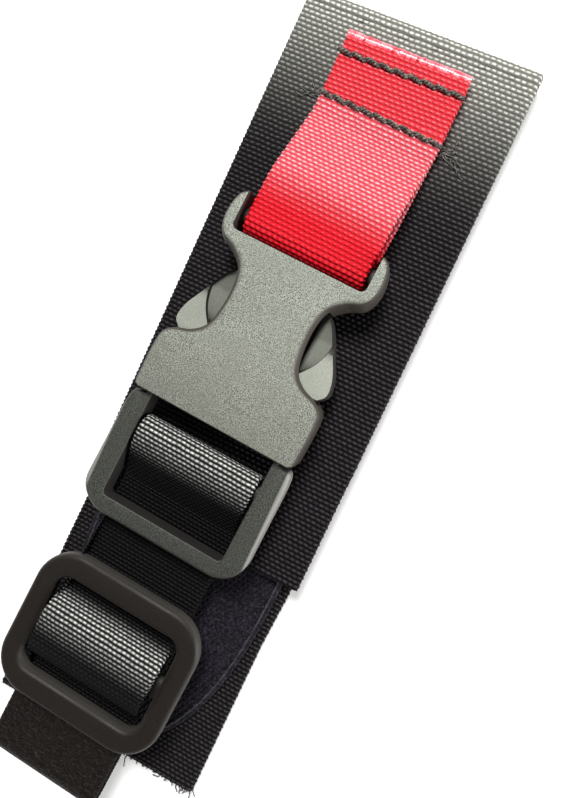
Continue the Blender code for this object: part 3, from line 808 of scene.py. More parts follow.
def combined(target, helper, operation):
    """Cut the helper from the target, or add it, and drop the helper."""
    boolean = target.modifiers.new(helper.name, "BOOLEAN")
    boolean.operation = operation
    boolean.solver = "EXACT"
    boolean.object = helper
    graph = bpy.context.evaluated_depsgraph_get()
    mesh = bpy.data.meshes.new_from_object(target.evaluated_get(graph))
    target.modifiers.remove(boolean)
    old = target.data
    target.data = mesh
    mesh.name = target.name
    bpy.data.meshes.remove(old)
    bpy.data.objects.remove(helper, do_unlink=True)


def softened(made, width, segments=2, angle=32.0):
    bevel = made.modifiers.new("softened_edges", "BEVEL")
    bevel.width = width
    bevel.segments = segments
    bevel.limit_method = "ANGLE"
    bevel.angle_limit = math.radians(angle)
    bevel.miter_outer = "MITER_ARC"
    bevel.harden_normals = False
    return made


def moved_to_line(made):
    """Put a body that was made on the buckle's line in its place in the world."""
    bm = bmesh.new()
    bm.from_mesh(made.data)
    bmesh.ops.remove_doubles(bm, verts=bm.verts, dist=0.002 * mm)
    placed(bm, on_line)
    bm.to_mesh(made.data)
    bm.free()
    return made


def thread_piece(name, strands, radius, material):
    """Round threads as one curve object, one strand for each list of points."""
    curve = bpy.data.curves.new(name, "CURVE")
    curve.dimensions = "3D"
    curve.bevel_depth = radius
    curve.bevel_resolution = 1
    curve.use_fill_caps = True
    for strand in strands:
        spline = curve.splines.new("POLY")
        spline.points.add(len(strand) - 1)
        for point, spot in zip(spline.points, strand):
            point.co = (*spot, 1.0)
    curve.materials.append(material)
    made = bpy.data.objects.new(name, curve)
    bpy.context.scene.collection.objects.link(made)
    return made


def twisted(points, radius, pitch):
    """Two strands twisted round a line of points."""
    spots = [Vector(p) for p in points]
    strands = [[], []]
    run = 0.0
    for index, spot in enumerate(spots):
        before = spots[max(index - 1, 0)]
        after = spots[min(index + 1, len(spots) - 1)]
        run += (spot - before).length
        tangent = (after - before).normalized()
        side = tangent.cross(UP).normalized()
        top = side.cross(tangent)
        for half, strand in enumerate(strands):
            angle = 2 * math.pi * run / pitch + math.pi * half
            strand.append(spot + (side * math.cos(angle) + top * math.sin(angle)) * radius)
    return strands


def stitches(start, end, pitch, radius, rise, slant=0.0, facing=UP):
    """A straight row of stitches, each one a short twisted thread that dips in at its ends."""
    start, end = Vector(start), Vector(end)
    run = end - start
    count = max(1, round(run.length / pitch))
    across = run.normalized().cross(UP)
    made = []
    steps = 12
    for index in range(count):
        points = []
        for step in range(steps + 1):
            share = step / steps
            height = rise * (math.sin(math.pi * share) ** 0.5 - 0.35)
            sway = slant * (share - 0.5)
            points.append(start + run * ((index + share) / count) + facing * height + across * sway)
        made += twisted(points, radius * 0.85, 5.2 * radius)
    return made


# Woven pieces


def rise_over(values, low, high):
    """0 up to low, 1 from high on, and smooth between them."""
    share = np.clip((values - low) / (high - low), 0.0, 1.0)
    return share * share * (3 - 2 * share)


# Painted glare on the band, rising towards the fold.
def painted_glare_near_fold(y, z):
    return rise_over(y, 0.036, 0.088) ** 2.8


def painted_glare_on_loop(y, z):
    """Painted pink glare on the loop, between the seam and the buckle, and hardly past the seam."""
    painted_lit = rise_over(y, 3.0 * mm, 13.0 * mm)
    past = rise_over(y, LOWER_SEAM.y - 0.2 * mm, LOWER_SEAM.y + 0.8 * mm)
    return painted_lit * (1 - 0.75 * past)


def painted_highlight_on_humps(y, z):
    """Painted highlight on the strap where it rises over the plug's bar and over the tri-glide's bar, on
    its high parts only.
    """
    places = strap_places()
    bar = (GLIDE[0].y + GLIDE[1].y) / 2
    over_plug = rise_over(y, places["adjust"] - 6.0 * mm, places["adjust"] + 2.0 * mm)
    over_glide = rise_over(y, bar - 2.0 * mm, bar + 5.5 * mm) * (y < bar + 9.0 * mm)
    return np.maximum(over_plug, over_glide) * rise_over(z, 11.5 * mm, 15.0 * mm)


def lay_band():
    """The wide band: back leg, front leg and the fold between them."""
    sizes = webbing_sizes()
    material = band_material()
    thick = sizes.band_thick - sizes.relief
    width = FRONT[1].x - FRONT[0].x
    fold_y = FOLD[0].y - 0.2 * mm
    middle = (FOLD[1].z - FOLD[0].z) / 2
    radius = middle - sizes.band_thick / 2
    back_length = fold_y - BACK[0].y
    lean_from, lean_over = 74.5 * mm, 40.0 * mm
    lean, narrowing = 1.3 * mm, 0.022

    def askew(x, up, along):
        share = np.clip((lean_from - along) / lean_over, 0.0, 1.0)
        return x * (1 - narrowing * share) - lean * share, up

    height = sizes.band_thick / 2
    back = woven(
        "band_back_leg", material, [(BACK[0].y, height), (fold_y, height)], width, thick,
        as_world, sizes.pick, spacing=0.44 * mm, shape=askew, wear=painted_glare_near_fold,
    )
    fitted(back, "back_leg", "band_webbing", "band_back")
    fold = woven(
        "band_folded_end", material, arc((fold_y, middle), radius, -90, 90, 48), width, thick,
        as_world, sizes.pick, under=120, start=back_length, wear=painted_glare_near_fold,
    )
    height = (FRONT[0].z + FRONT[1].z) / 2
    front = woven(
        "band_front_leg", material, [(fold_y, height), (FRONT[0].y, height)], width, thick,
        as_world, sizes.pick, start=back_length + math.pi * radius, wear=painted_glare_near_fold,
    )
    fitted(front, "front_leg", "band_webbing", "band_front")
    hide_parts("band_fold")
    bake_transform(fold)


def anchor_route():
    """The loop, from its lower end under the seams, round the socket's bar and back on top."""
    thick = webbing_sizes().anchor_thick
    lower = FRONT[1].z + CLEAR + thick / 2
    upper = lower + thick + CLEAR
    hug = ANCHOR[1].z - BAR.z - thick / 2
    rise = BAR.z + hug
    sink = BAR.z - hug
    end = ANCHOR[1].y
    return rounded_route([
        (end - 1.3 * mm, lower, 0.0),
        (11.0 * mm, lower, 12.0 * mm),
        (2.0 * mm, sink, 9.0 * mm),
        (-hug, sink, hug),
        (-hug, rise, hug),
        (9.0 * mm, rise, 12.0 * mm),
        (LOWER_SEAM.y - 4.0 * mm, upper, 7.0 * mm),
        (end, upper, 0.0),
    ])


def sewn_straight(places):
    """The buckle's line up to the lower seam, and straight along the band past it."""
    places = np.asarray(places, float)
    past = np.clip(places[:, 1] - LOWER_SEAM.y, 0.0, None)
    bent = places.copy()
    bent[:, 1] = np.minimum(places[:, 1], LOWER_SEAM.y)
    world = on_line(bent)
    seam = on_line([(0.0, LOWER_SEAM.y, 0.0)])[0]
    share = np.clip(past / (1.5 * mm), 0.0, 1.0)[:, None]
    straight = np.stack([seam[0] + places[:, 0], np.full(len(places), seam[1]), places[:, 2]], axis=1)
    world = world * (1 - share) + straight * share
    world[:, 1] += past
    return world


def make_anchor():
    """The red loop, and the melted strip along its cut end."""
    sizes = webbing_sizes()
    piece = woven(
        "anchor_loop", red_material(), anchor_route(), NARROW, sizes.anchor_thick - sizes.relief,
        sewn_straight, RED_PICK * sizes.pick, under=84, wear=painted_glare_on_loop,
    )
    fitted(piece, "front_leg", "red_webbing", "anchor_webbing")
    make_sealed_end()


def melted_material():
    made, tree, shader = start_material("melted_red", 0.22)
    noise = add_group(tree, grain_group(), Size=1.1 * mm)
    melted = mixed(tree, noise["Speck"], (0.66, 0.03, 0.06), (0.92, 0.34, 0.38))
    tree.links.new(melted, shader.inputs["Base Color"])
    bumped(tree, shader, noise["Height"], 0.12 * mm)
    return made


def make_sealed_end():
    """The melted, shiny strip along the cut end of the red webbing."""
    thick = webbing_sizes().anchor_thick
    upper = FRONT[1].z + 2 * CLEAR + 1.5 * thick
    half_long, half_high = 0.95 * mm, thick / 2 + 0.02 * mm
    random.seed(5)
    strips, sides = 44, 12
    rings = []
    for index in range(strips + 1):
        x = -NARROW / 2 + NARROW * index / strips
        swell = 1 + 0.16 * (random.random() - 0.5)
        ring = []
        for side in range(sides):
            angle = 2 * math.pi * side / sides
            y = ANCHOR[1].y - 0.35 * mm + half_long * math.cos(angle) * swell
            ring.append(Vector((x, y, upper + half_high * math.sin(angle) * swell)))
        rings.append(ring)
    bm = lofted(rings)
    placed(bm, sewn_straight)
    piece = smooth_shaded(object_of(bm, "anchor_sealed_end", melted_material()), 60.0)
    fitted(piece, "front_leg", "red_webbing")


def strap_places():
    """Heights and places that the tension strap runs through."""
    thick = webbing_sizes().strap_thick
    bar, height = (GLIDE[0].y + GLIDE[1].y) / 2, (GLIDE[0].z + GLIDE[1].z) / 2
    gap = CLEAR + thick / 2
    leg = FRONT[1].z + gap
    return {
        "leg": leg,
        "work": leg + thick + CLEAR,
        "step": thick + CLEAR,
        "bar_top": height + GLIDE_BAR_THICK / 2 + gap,
        "bar_low": height - GLIDE_BAR_THICK / 2 - gap,
        "near": bar + GLIDE_BAR_WIDE / 2 + gap,
        "far": bar - GLIDE_BAR_WIDE / 2 - gap,
        "adjust": MOUTH - 7.5 * mm,
        "hug": BAR_WIDE / 2 + gap + 0.4 * mm,
        "end": STRAP[0].y + thick / 2,
        "tail_under": STRAP[0].z + thick / 2,
        "glide_end": GLIDE[0].y + 2.0 * mm,
    }


def doubled_route(p):
    """Round the tri-glide's bar, along the band, round the plug's bar and back over the tri-glide."""
    tight = 1.0 * mm
    rise, sink = BAR.z + p["hug"], BAR.z - p["hug"]
    adjust, near, far, step = p["adjust"], p["near"], p["far"], p["step"]
    over = p["bar_top"] + step + 0.3 * mm
    return rounded_route([
        (near + 13.0 * mm, p["leg"] - step, 0.0),
        (near - 0.9 * mm, p["leg"] - step, 1.6 * mm),
        (far + 2.6 * mm, p["bar_low"], 1.6 * mm),
        (far, p["bar_low"], tight),
        (far, p["bar_top"], tight),
        (near, p["bar_top"], tight),
        (near, p["leg"], 1.4 * mm),
        (adjust - 9.0 * mm, p["leg"], 10.0 * mm),
        (adjust - 2.0 * mm, sink, 6.0 * mm),
        (adjust + p["hug"], sink, p["hug"]),
        (adjust + p["hug"], rise, 0.9 * p["hug"]),
        (adjust - 2.2 * mm, rise, 6.0 * mm),
        (adjust - 10.0 * mm, p["work"], 3.0 * mm),
        (near + step + 3.6 * mm, p["work"], 2.0 * mm),
        (near + step - 0.4 * mm, over, 4.0 * mm),
        (far - step + 0.4 * mm, over, 4.0 * mm),
        (far - step - 3.6 * mm, p["work"], 2.0 * mm),
        (p["glide_end"], p["work"], 0.0),
    ])


def make_doubled_strap():
    """The strap round both bars, which stretches between the plug and the tri-glide."""
    sizes = webbing_sizes()
    strap = woven(
        "tension_strap_doubled", strap_material(), doubled_route(strap_places()), NARROW,
        sizes.strap_thick - sizes.relief, on_line, FINE * sizes.pick, under=44,
        spacing=0.28 * mm, step=0.22 * mm, wear=painted_highlight_on_humps, fineness=FINE,
    )
    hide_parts("tension_strap")
    on_line([(0.0, PLUG[0].y + 2.0 * mm, BAR.z)])[0]
    on_line([(0.0, GLIDE[1].y - 3.0 * mm, BAR.z)])[0]
    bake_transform(strap)


def make_tail():
    """The strap's tail: an upper leg, and the folded end."""
    sizes = webbing_sizes()
    p = strap_places()
    fold = (p["work"] - p["tail_under"]) / 2
    hem = p["end"] + fold + 0.5 * mm
    folded = rounded_route([
        (hem, p["work"], 0.0),
        (p["end"], p["work"], fold),
        (p["end"], p["tail_under"], fold),
        (TAIL_TAPE[1].y + 0.2 * mm, p["tail_under"], 0.0),
    ])
    thick = sizes.strap_thick - sizes.relief
    for name, route in (
        ("tail_upper_leg", [(p["glide_end"], p["work"]), (hem, p["work"])]),
        ("tail_folded_end", folded),
    ):
        tail = woven(
            name, pile_material(), route, NARROW, thick, on_line, FINE * sizes.pick,
            relief=FUZZY_RELIEF, under=60,
        )
        if route is folded:
            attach(tail, "tail")
            continue
        start, end = on_line([(0.0, p["glide_end"], 0.0), (0.0, hem, 0.0)])
        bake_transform(tail)


# Moulded pieces


def socket_outline():
    """The socket seen from above: mouth, shoulders, waist and the two arms that hold the bar."""
    tip = SOCKET[1].y
    half = SOCKET[1].x
    arm = half - 1.0 * mm
    waist = 9.1 * mm
    right = [(half - 1.2 * mm, MOUTH), (half - 0.35 * mm, MOUTH + 0.5 * mm)]
    right += smooth_through([
        (half, MOUTH + 1.6 * mm),
        (half, SHOULDER - 3.6 * mm),
        (half - 0.5 * mm, SHOULDER - 1.5 * mm),
        (half - 2.2 * mm, SHOULDER),
        (waist + 3.0 * mm, SHOULDER + 1.3 * mm),
        (waist + 0.9 * mm, SHOULDER + 3.6 * mm),
        (waist, SHOULDER + 7.5 * mm),
        (waist - 0.1 * mm, NECK - 5.0 * mm),
        (waist + 0.7 * mm, NECK - 1.8 * mm),
        (waist + 3.0 * mm, NECK + 0.4 * mm),
        (arm - 1.4 * mm, NECK + 2.0 * mm),
        (arm - 0.1 * mm, NECK + 5.0 * mm),
        (arm - 0.1 * mm, tip - 3.6 * mm),
        (arm - 0.9 * mm, tip - 1.0 * mm),
        (arm - 2.1 * mm, tip),
    ], steps=6)
    return mirrored(right)


def bar_helper(name, along, height, half, wide, thick):
    """A bar across the line, with an oval section."""
    bm = bmesh.new()
    bmesh.ops.create_cone(
        bm, segments=28, cap_ends=True, radius1=0.5, radius2=0.5, depth=2 * half,
        matrix=Matrix.Rotation(math.pi / 2, 4, "Y"),
    )
    bmesh.ops.scale(bm, verts=bm.verts, vec=(1.0, wide, thick))
    bmesh.ops.translate(bm, verts=bm.verts, vec=(0.0, along, height))
    return object_of(bm, name, buckle_material())


def make_socket():
    sizes = plastic_sizes()
    low, high = SOCKET[0].z, SOCKET[1].z

    def reach(x, y):
        into_waist = min(1.0, max(0.0, (y - SHOULDER + 0.5 * mm) / (3.0 * mm)))
        out_of_waist = min(1.0, max(0.0, (NECK + 3.5 * mm - y) / (3.0 * mm)))
        edge = 0.35 if y < MOUTH + 1.0 * mm else 0.75
        return sizes.rim * (edge + 1.05 * into_waist * out_of_waist)

    body = object_of(rolled(socket_outline(), low, high, reach, 1.7), "socket_shell", buckle_material())
    slot_half = 13.8 * mm
    past = 2.0 * mm
    notch = rounded_rectangle(2 * slot_half, 16.0 * mm, 1.1 * mm, SLOT_EDGE + 8.0 * mm, 5)
    helper = object_of(raised(notch, low - past, high + past), "slot_cut", buckle_material())
    combined(body, helper, "DIFFERENCE")
    cavity = SOCKET[1].x - 2.4 * mm
    hollow = mirrored([
        (cavity, MOUTH - past),
        (cavity, SHOULDER - 0.4 * mm),
        (2 * cavity, SHOULDER - 0.4 * mm),
        (2 * cavity, NECK - 1.5 * mm),
    ])
    helper = object_of(raised(hollow, low + 1.4 * mm, high - 1.4 * mm), "hollow", buckle_material())
    combined(body, helper, "DIFFERENCE")
    combined(body, bar_helper("bar", 0.0, BAR.z, slot_half + 1.5 * mm, BAR_WIDE, BAR_THICK), "UNION")
    moved_to_line(body)
    smooth_shaded(softened(body, 0.22 * mm, 2, 48.0), 30.0)
    fitted(body, "socket", "buckle_plastic", "buckle_socket")


def plug_outline():
    half = PLUG[1].x + 0.4 * mm
    low = PLUG[0].y
    top = SOCKET[0].y - 0.5 * mm
    corner = 6.2 * mm
    right = arc((half + 0.4 * mm - corner, low + corner), corner, -90, 0, 12)
    right += smooth_through([
        (half + 0.3 * mm, low + 13.0 * mm),
        (half, top - 1.8 * mm),
        (half - 0.5 * mm, top - 0.5 * mm),
        (half - 1.5 * mm, top),
    ], steps=5)
    return right


def make_plug():
    """The plug's frame with raised rails, its end bar, adjusting bar, base and tongue."""
    low, high = PLUG[0].z, PLUG[1].z
    slot_half = PLUG[1].x - RAIL
    base = MOUTH + 1.0 * mm
    base_half = SOCKET[1].x - 3.0 * mm
    top = MOUTH - 0.5 * mm
    right = plug_outline()
    right += [(base_half, top), (base_half, base + 4.2 * mm)]
    bm = raised(mirrored(right), low, high)
    rims = [e for e in flat_rims(bm) if max(v.co.y for v in e.verts) < top + 0.1 * mm]
    bmesh.ops.bevel(
        bm, geom=rims, offset=0.9 * mm, segments=4, profile=0.5, affect="EDGES", material=-1,
    )
    body = object_of(bm, "plug_body", frame_material())
    past = 2.0 * mm
    start = PLUG[0].y + RAIL
    window = rounded_rectangle(2 * slot_half, base - start, 1.0 * mm, (start + base) / 2, 4)
    helper = object_of(raised(window, low - past, high + past), "window", frame_material())
    combined(body, helper, "DIFFERENCE")
    adjust = strap_places()["adjust"]
    bar = bar_helper("adjusting_bar", adjust, BAR.z, slot_half + RAIL / 2, BAR_WIDE, BAR_THICK)
    combined(body, bar, "UNION")
    tip = PLUG[1].y
    tongue = object_of(
        raised(
            mirrored([
                (3.0 * mm, base + 2.1 * mm),
                (3.0 * mm, tip - 2.0 * mm),
                (1.4 * mm, tip),
            ]),
            BAR.z - 1.5 * mm, BAR.z + 1.5 * mm,
        ),
        "tongue", frame_material(),
    )
    combined(body, tongue, "UNION")
    slope_end_bar(body, start)
    moved_to_line(body)
    smooth_shaded(softened(body, 0.2 * mm, 2, 48.0), 30.0)
    fitted(body, "plug", "buckle_plastic", "plug_frame")


def slope_end_bar(body, inner):
    """Let the end bar's top fall away outwards, and leave the rails standing proud of it."""
    outer = PLUG[0].y
    high = PLUG[1].z
    for vertex in body.data.vertices:
        co = vertex.co
        if co.z > BAR.z + 1.0 * mm and co.y < inner + 0.3 * mm:
            share = (inner - co.y) / (inner - outer)
            co.z -= 1.1 * mm * max(0.0, share) * (co.z - BAR.z) / (high - BAR.z)


def paddle_ring(y, foot, tip, inner, outer, height, side):
    """One section across a paddle: a raised outer facet, a small step, and a low inner facet.

    The step runs slantwise, from beside the shell at the foot to the outer edge near the tip.
    """
    share = (y - foot) / (tip - foot)
    ridge = inner + (outer - inner) * min(0.92, max(0.06, 1.6 * (share - 0.12)))
    low = -height
    top = height * (1.0 - 0.16 * share)
    step = 1.0 * mm * min(1.0, 0.3 + 2.0 * share)
    edge = min(0.8 * mm, 0.25 * (outer - inner))
    points = [
        (inner + 0.3 * mm, low),
        (outer - edge, low),
        (outer - 0.3 * edge, low + 0.35 * edge),
        (outer, low + 1.3 * edge),
        (outer, top - 2.9 * edge),
        (outer - 0.12 * edge, top - 1.9 * edge),
        (max(outer - 0.5 * edge, ridge + 0.10 * mm), top - 1.0 * edge),
        (max((outer - edge + ridge) / 2, ridge + 0.05 * mm), top - 0.45 * edge),
        (ridge, top - 0.1 * mm),
        (ridge - 0.22 * mm, top - step),
        ((inner + ridge) / 2, top - step - 0.25 * (ridge - inner)),
        (inner, top - step - 0.5 * (ridge - inner)),
        (inner, low + 0.3 * mm),
    ]
    return [Vector((side * x, y, BAR.z + z)) for x, z in points]


def make_prongs():
    """Both prongs: a thin arm that flexes, and the paddle that is squeezed."""
    root = MOUTH + 5.5 * mm
    foot = MOUTH + 13.3 * mm
    tip = root + 22.4 * mm
    height = 2.7 * mm
    widest = SOCKET[1].x - 0.6 * mm
    outer_at = smooth_through([
        (widest - 1.3 * mm, foot),
        (widest - 0.1 * mm, foot + 1.3 * mm),
        (widest - 0.3 * mm, foot + 4.0 * mm),
        (widest - 2.5 * mm, foot + 8.6 * mm),
        (11.6 * mm, tip - 1.6 * mm),
        (10.3 * mm, tip),
    ], steps=10)
    along = [p[1] for p in outer_at]
    across = [p[0] for p in outer_at]
    for name, side, body, node in (
        ("left_prong_paddle", -1, "left_prong", "prong_left"),
        ("right_prong_paddle", 1, "right_prong", "prong_right"),
    ):
        rings = []
        stations = 36
        for index in range(stations + 1):
            y = foot + (tip - foot) * index / stations
            outer = float(np.interp(y, along, across))
            inner = 8.9 * mm - 0.2 * mm * index / stations
            rings.append(paddle_ring(y, foot, tip, inner, outer, height, side))
        paddle = object_of(lofted(rings), name, paddle_material())
        arm = raised(
            [(side * x, y) for x, y in (
                (9.1 * mm, root), (11.3 * mm, root), (11.5 * mm, foot + 1.0 * mm),
                (9.1 * mm, foot + 1.0 * mm),
            )],
            BAR.z - height, BAR.z + height - 0.3 * mm,
        )
        combined(paddle, object_of(arm, "arm", paddle_material()), "UNION")
        moved_to_line(paddle)
        smooth_shaded(paddle, 32.0)
        fitted(paddle, body, "buckle_plastic", node)


def make_tri_glide():
    """The strap adjuster: one rounded frame with a bar across its middle."""
    low, high = GLIDE[0].z, GLIDE[1].z
    middle = (GLIDE[0].y + GLIDE[1].y) / 2
    width, length = GLIDE[1].x - GLIDE[0].x + 1.8 * mm, GLIDE[1].y - GLIDE[0].y
    outer = rounded_rectangle(width, length, 8.0 * mm, middle, 12)
    inner = rounded_rectangle(width - 8.8 * mm, length - 10.4 * mm, 2.8 * mm, middle, 12)
    bm = bmesh.new()
    loops = []
    for outline in (outer, inner):
        verts = [bm.verts.new((x, y, low)) for x, y in outline]
        loops += [bm.edges.new(pair) for pair in zip(verts, verts[1:] + verts[:1])]
    ring = bmesh.ops.bridge_loops(bm, edges=loops)
    top = bmesh.ops.extrude_face_region(bm, geom=ring["faces"])
    verts = [item for item in top["geom"] if isinstance(item, bmesh.types.BMVert)]
    bmesh.ops.translate(bm, verts=verts, vec=(0.0, 0.0, high - low))
    bmesh.ops.recalc_face_normals(bm, faces=bm.faces)
    rims = [e for e in flat_rims(bm) if e.calc_face_angle(0.0) > 1.0]
    bmesh.ops.bevel(
        bm, geom=rims, offset=1.15 * mm, segments=5, profile=0.5, affect="EDGES", material=-1,
    )
    body = object_of(bm, "strap_adjuster", glide_material())
    height = (low + high) / 2
    bar = bar_helper("middle_bar", middle, height, width / 2 - 1.9 * mm, GLIDE_BAR_WIDE, GLIDE_BAR_THICK)
    combined(body, bar, "UNION")
    moved_to_line(body)
    smooth_shaded(body, 34.0)
    fitted(body, "adjuster", "tri_glide_plastic", "tri_glide")


# Hook tape, pile tape and threads


def oval_ended(width, start, end_length, end, extra=0.0, steps=40):
    """A patch outline with a square end and a long oval end."""
    points = [(width / 2 + extra, end + extra), (-width / 2 - extra, end + extra)]
    power = 2 / 2.4
    for step in range(steps + 1):
        angle = math.pi + math.pi * step / steps
        across = math.copysign(abs(math.cos(angle)) ** power, math.cos(angle))
        along = abs(math.sin(angle)) ** power
        points.append(((width / 2 + extra) * across, start - (end_length + extra) * along))
    return points


def inside_oval(x, y, width, start, end_length):
    """Whether a place lies on the patch."""
    if y >= start:
        return abs(x) < width / 2
    return (abs(x) / (width / 2)) ** 2.4 + ((start - y) / end_length) ** 2.4 < 1.0


def make_hook_patch():
    """Hook tape on the back leg: a thin tape and its field of hooks."""
    width = HOOK[1].x - HOOK[0].x
    start = FRONT[0].y
    end_length = start - HOOK[0].y
    base_top = HOOK[1].z - 0.5 * mm
    bm = raised(oval_ended(width, start, end_length, HOOK[1].y), HOOK[0].z, base_top)
    bmesh.ops.bevel(
        bm, geom=flat_rims(bm), offset=0.2 * mm, segments=2, profile=0.5, affect="EDGES", material=-1,
    )
    piece = smooth_shaded(object_of(bm, "hook_tape_base", hook_material()))
    fitted(piece, "back_leg", "hook_tape", "hook_patch")
    random.seed(11)
    pitch = 1.05 * mm
    bm = bmesh.new()
    rows = int((HOOK[1].y - HOOK[0].y) / pitch)
    columns = int(width / pitch)
    for row in range(1, rows):
        y = HOOK[0].y + row * pitch
        for column in range(columns + 1):
            x = -width / 2 + (column + 0.5 * (row % 2)) * pitch
            if not inside_oval(x * 1.045, y - 0.6 * mm, width, start, end_length):
                continue
            lean = Matrix.Rotation(random.uniform(-0.5, 0.5), 4, "X")
            lean = lean @ Matrix.Rotation(random.uniform(-0.4, 0.4), 4, "Y")
            spot = Matrix.Translation((x, y, base_top + 0.22 * mm))
            bmesh.ops.create_cone(
                bm, segments=5, cap_ends=True, radius1=0.31 * mm, radius2=0.17 * mm, depth=0.6 * mm,
                matrix=spot @ lean,
            )
    piece = smooth_shaded(object_of(bm, "hooks", hook_material()), 80.0)
    fitted(piece, "back_leg", "hook_tape")


def make_pile_tapes():
    """Pile tape under the front leg, and under the strap's tail."""
    for name, ends, place, body, node, under in (
        ("pile_tape_under_leg", PILE, as_world, "front_leg", "pile_patch", 50),
        ("pile_tape_on_tail", TAIL_TAPE, on_line, "tail", "tail_pile_tape", 30),
    ):
        low, high = ends
        middle = (low.z + high.z) / 2
        piece = woven(
            name, pile_material(), [(low.y, middle), (high.y, middle)], high.x - low.x,
            high.z - low.z - 0.1 * mm, place, webbing_sizes().pick, spacing=0.8 * mm,
            step=0.6 * mm, under=under, relief=FUZZY_RELIEF,
        )
        fitted(piece, body, "pile_tape", node)


def make_anchor_stitches():
    """Two rows of thick thread through the red webbing."""
    radius = 0.27 * mm
    top = FRONT[1].z + 2 * (CLEAR + webbing_sizes().anchor_thick) + 0.12 * mm
    for level, seam in (("upper", UPPER_SEAM), ("lower", LOWER_SEAM)):
        ends = sewn_straight([(-SEAM_HALF, seam.y, top), (SEAM_HALF, seam.y, top)])
        row = stitches(ends[0], ends[1], 2.9 * mm, radius, 0.45 * mm, 0.42 * mm)
        piece = thread_piece(f"anchor_{level}_stitches", row, radius, black_thread())
        fitted(piece, "front_leg", "thread", f"anchor_seam_{level}")


def round_stitches(name, corners, rise, thread, facing=UP):
    """A closed row of thin stitches through the corners."""
    row = []
    for a, b in zip(corners, corners[1:] + corners[:1]):
        if (b - a).length > 0.3 * mm:
            row += stitches(a, b, 2.6 * mm, THIN, rise, facing=facing)
    return thread_piece(name, row, THIN, thread)


def make_patch_stitches():
    """The thin rows that hold the tapes and close the strap's loop."""
    start = FRONT[0].y
    ring = oval_ended(HOOK[1].x - HOOK[0].x, start, start - HOOK[0].y, HOOK[1].y, -1.0 * mm)
    ring = [Vector((x, y, HOOK[1].z - 0.45 * mm)) for x, y in ring]
    piece = round_stitches("hook_tape_stitches", ring, 0.3 * mm, dark_thread())
    fitted(piece, "back_leg", "thread", "hook_patch_seam")
    inset = 1.2 * mm
    x, z = PILE[1].x - inset, PILE[0].z + 0.02 * mm
    low, high = PILE[0].y + inset, PILE[1].y - inset
    ring = [Vector((x, low, z)), Vector((x, high, z)), Vector((-x, high, z)), Vector((-x, low, z))]
    piece = round_stitches("pile_tape_stitches", ring, 0.15 * mm, black_thread(), -UP)
    fitted(piece, "front_leg", "thread", "pile_patch_seam")
    low, high = TAIL_TAPE
    for name, side in (("left", -1), ("right", 1)):
        x = side * (high.x - 0.8 * mm)
        ends = on_line([(x, low.y + 0.5 * mm, low.z), (x, high.y - 0.5 * mm, low.z)])
        row = stitches(ends[0], ends[1], 2.6 * mm, THIN, 0.15 * mm, facing=-UP)
        piece = thread_piece("tail_stitches_" + name, row, THIN, black_thread())
        fitted(piece, "tail", "thread", "tail_seam_" + name)
    low, high = line_box("strap_loop_seam")
    y = (low.y + high.y) / 2
    ends = on_line([(low.x, y, high.z - 0.1 * mm), (high.x, y, high.z - 0.1 * mm)])
    row = stitches(ends[0], ends[1], 2.8 * mm, 0.16 * mm, 0.3 * mm, facing=-UP)
    piece = thread_piece("strap_loop_stitches", row, 0.16 * mm, black_thread())
    fitted(piece, "adjuster", "thread", "strap_loop_seam")


def stray(start, heading, length, wander, floor, steps=14):
    """One loose fibre that lies on a surface: a wandering line from its root."""
    point = Vector(start)
    points = [point.copy()]
    angle = heading
    stride = length / steps
    for step in range(steps):
        angle += random.gauss(0.0, wander)
        lift = 0.35 * mm * math.sin(math.pi * (step + 1) / steps) * random.uniform(0.4, 1.0)
        point = point + Vector((math.cos(angle), math.sin(angle), 0.0)) * stride
        point.z = floor + 0.1 * mm + lift
        points.append(point.copy())
    return points


def make_tufts():
    """Tufts of loose thread at both ends of the lower stitch row."""
    random.seed(23)
    floor = FRONT[1].z
    tufts = []
    for side, count, reach in ((-1, 4, 6.0 * mm), (1, 7, 7.0 * mm)):
        for _ in range(count):
            root = (side * SEAM_HALF, LOWER_SEAM.y + random.uniform(-0.8, 0.4) * mm, 0.0)
            root = sewn_straight([root])[0]
            heading = (0.0 if side > 0 else math.pi) + random.uniform(-0.55, 0.45) * side
            start = (root[0], root[1], floor + 0.2 * mm)
            tufts.append(stray(start, heading, reach * random.uniform(0.4, 1.0), 0.28, floor))
    piece = thread_piece("loose_stitch_threads", tufts, 0.085 * mm, worn_thread())
    fitted(piece, "front_leg", "thread")


def make_frayed_end():
    """The fringe and the long fibres at the cut end of the back leg. Its draws follow the tufts'."""
    fringe = []
    root = BACK[0].y + 0.5 * mm
    left, right = BACK[0].x - 0.8 * mm, BACK[1].x - 1.9 * mm
    down = -math.pi / 2
    count = 110
    for index in range(count):
        share = index / (count - 1)
        x = left + (right - left) * share
        corner = max(0.0, share - 0.75) * 4
        height = random.uniform(0.3, 1.8) * mm
        length = random.uniform(0.2, 0.8) * mm * (1 + 2.2 * corner) + 0.5 * mm
        heading = down + random.uniform(-0.5, 0.5)
        floor = max(0.1 * mm, height - 0.4 * mm)
        fringe.append(stray((x, root, height), heading, length, 0.3, floor, 5))
    for share, length in ((0.60, 6.5 * mm), (0.68, 4.0 * mm), (0.86, 3.4 * mm), (0.93, 3.0 * mm)):
        x = left + (right - left) * share
        heading = down + random.uniform(-0.4, 0.1)
        fringe.append(stray((x, root, 1.0 * mm), heading, length, 0.22, 0.3 * mm))
    piece = thread_piece("frayed_end", fringe, 0.14 * mm, worn_thread())
    fitted(piece, "back_leg", "band_webbing")


# Stage


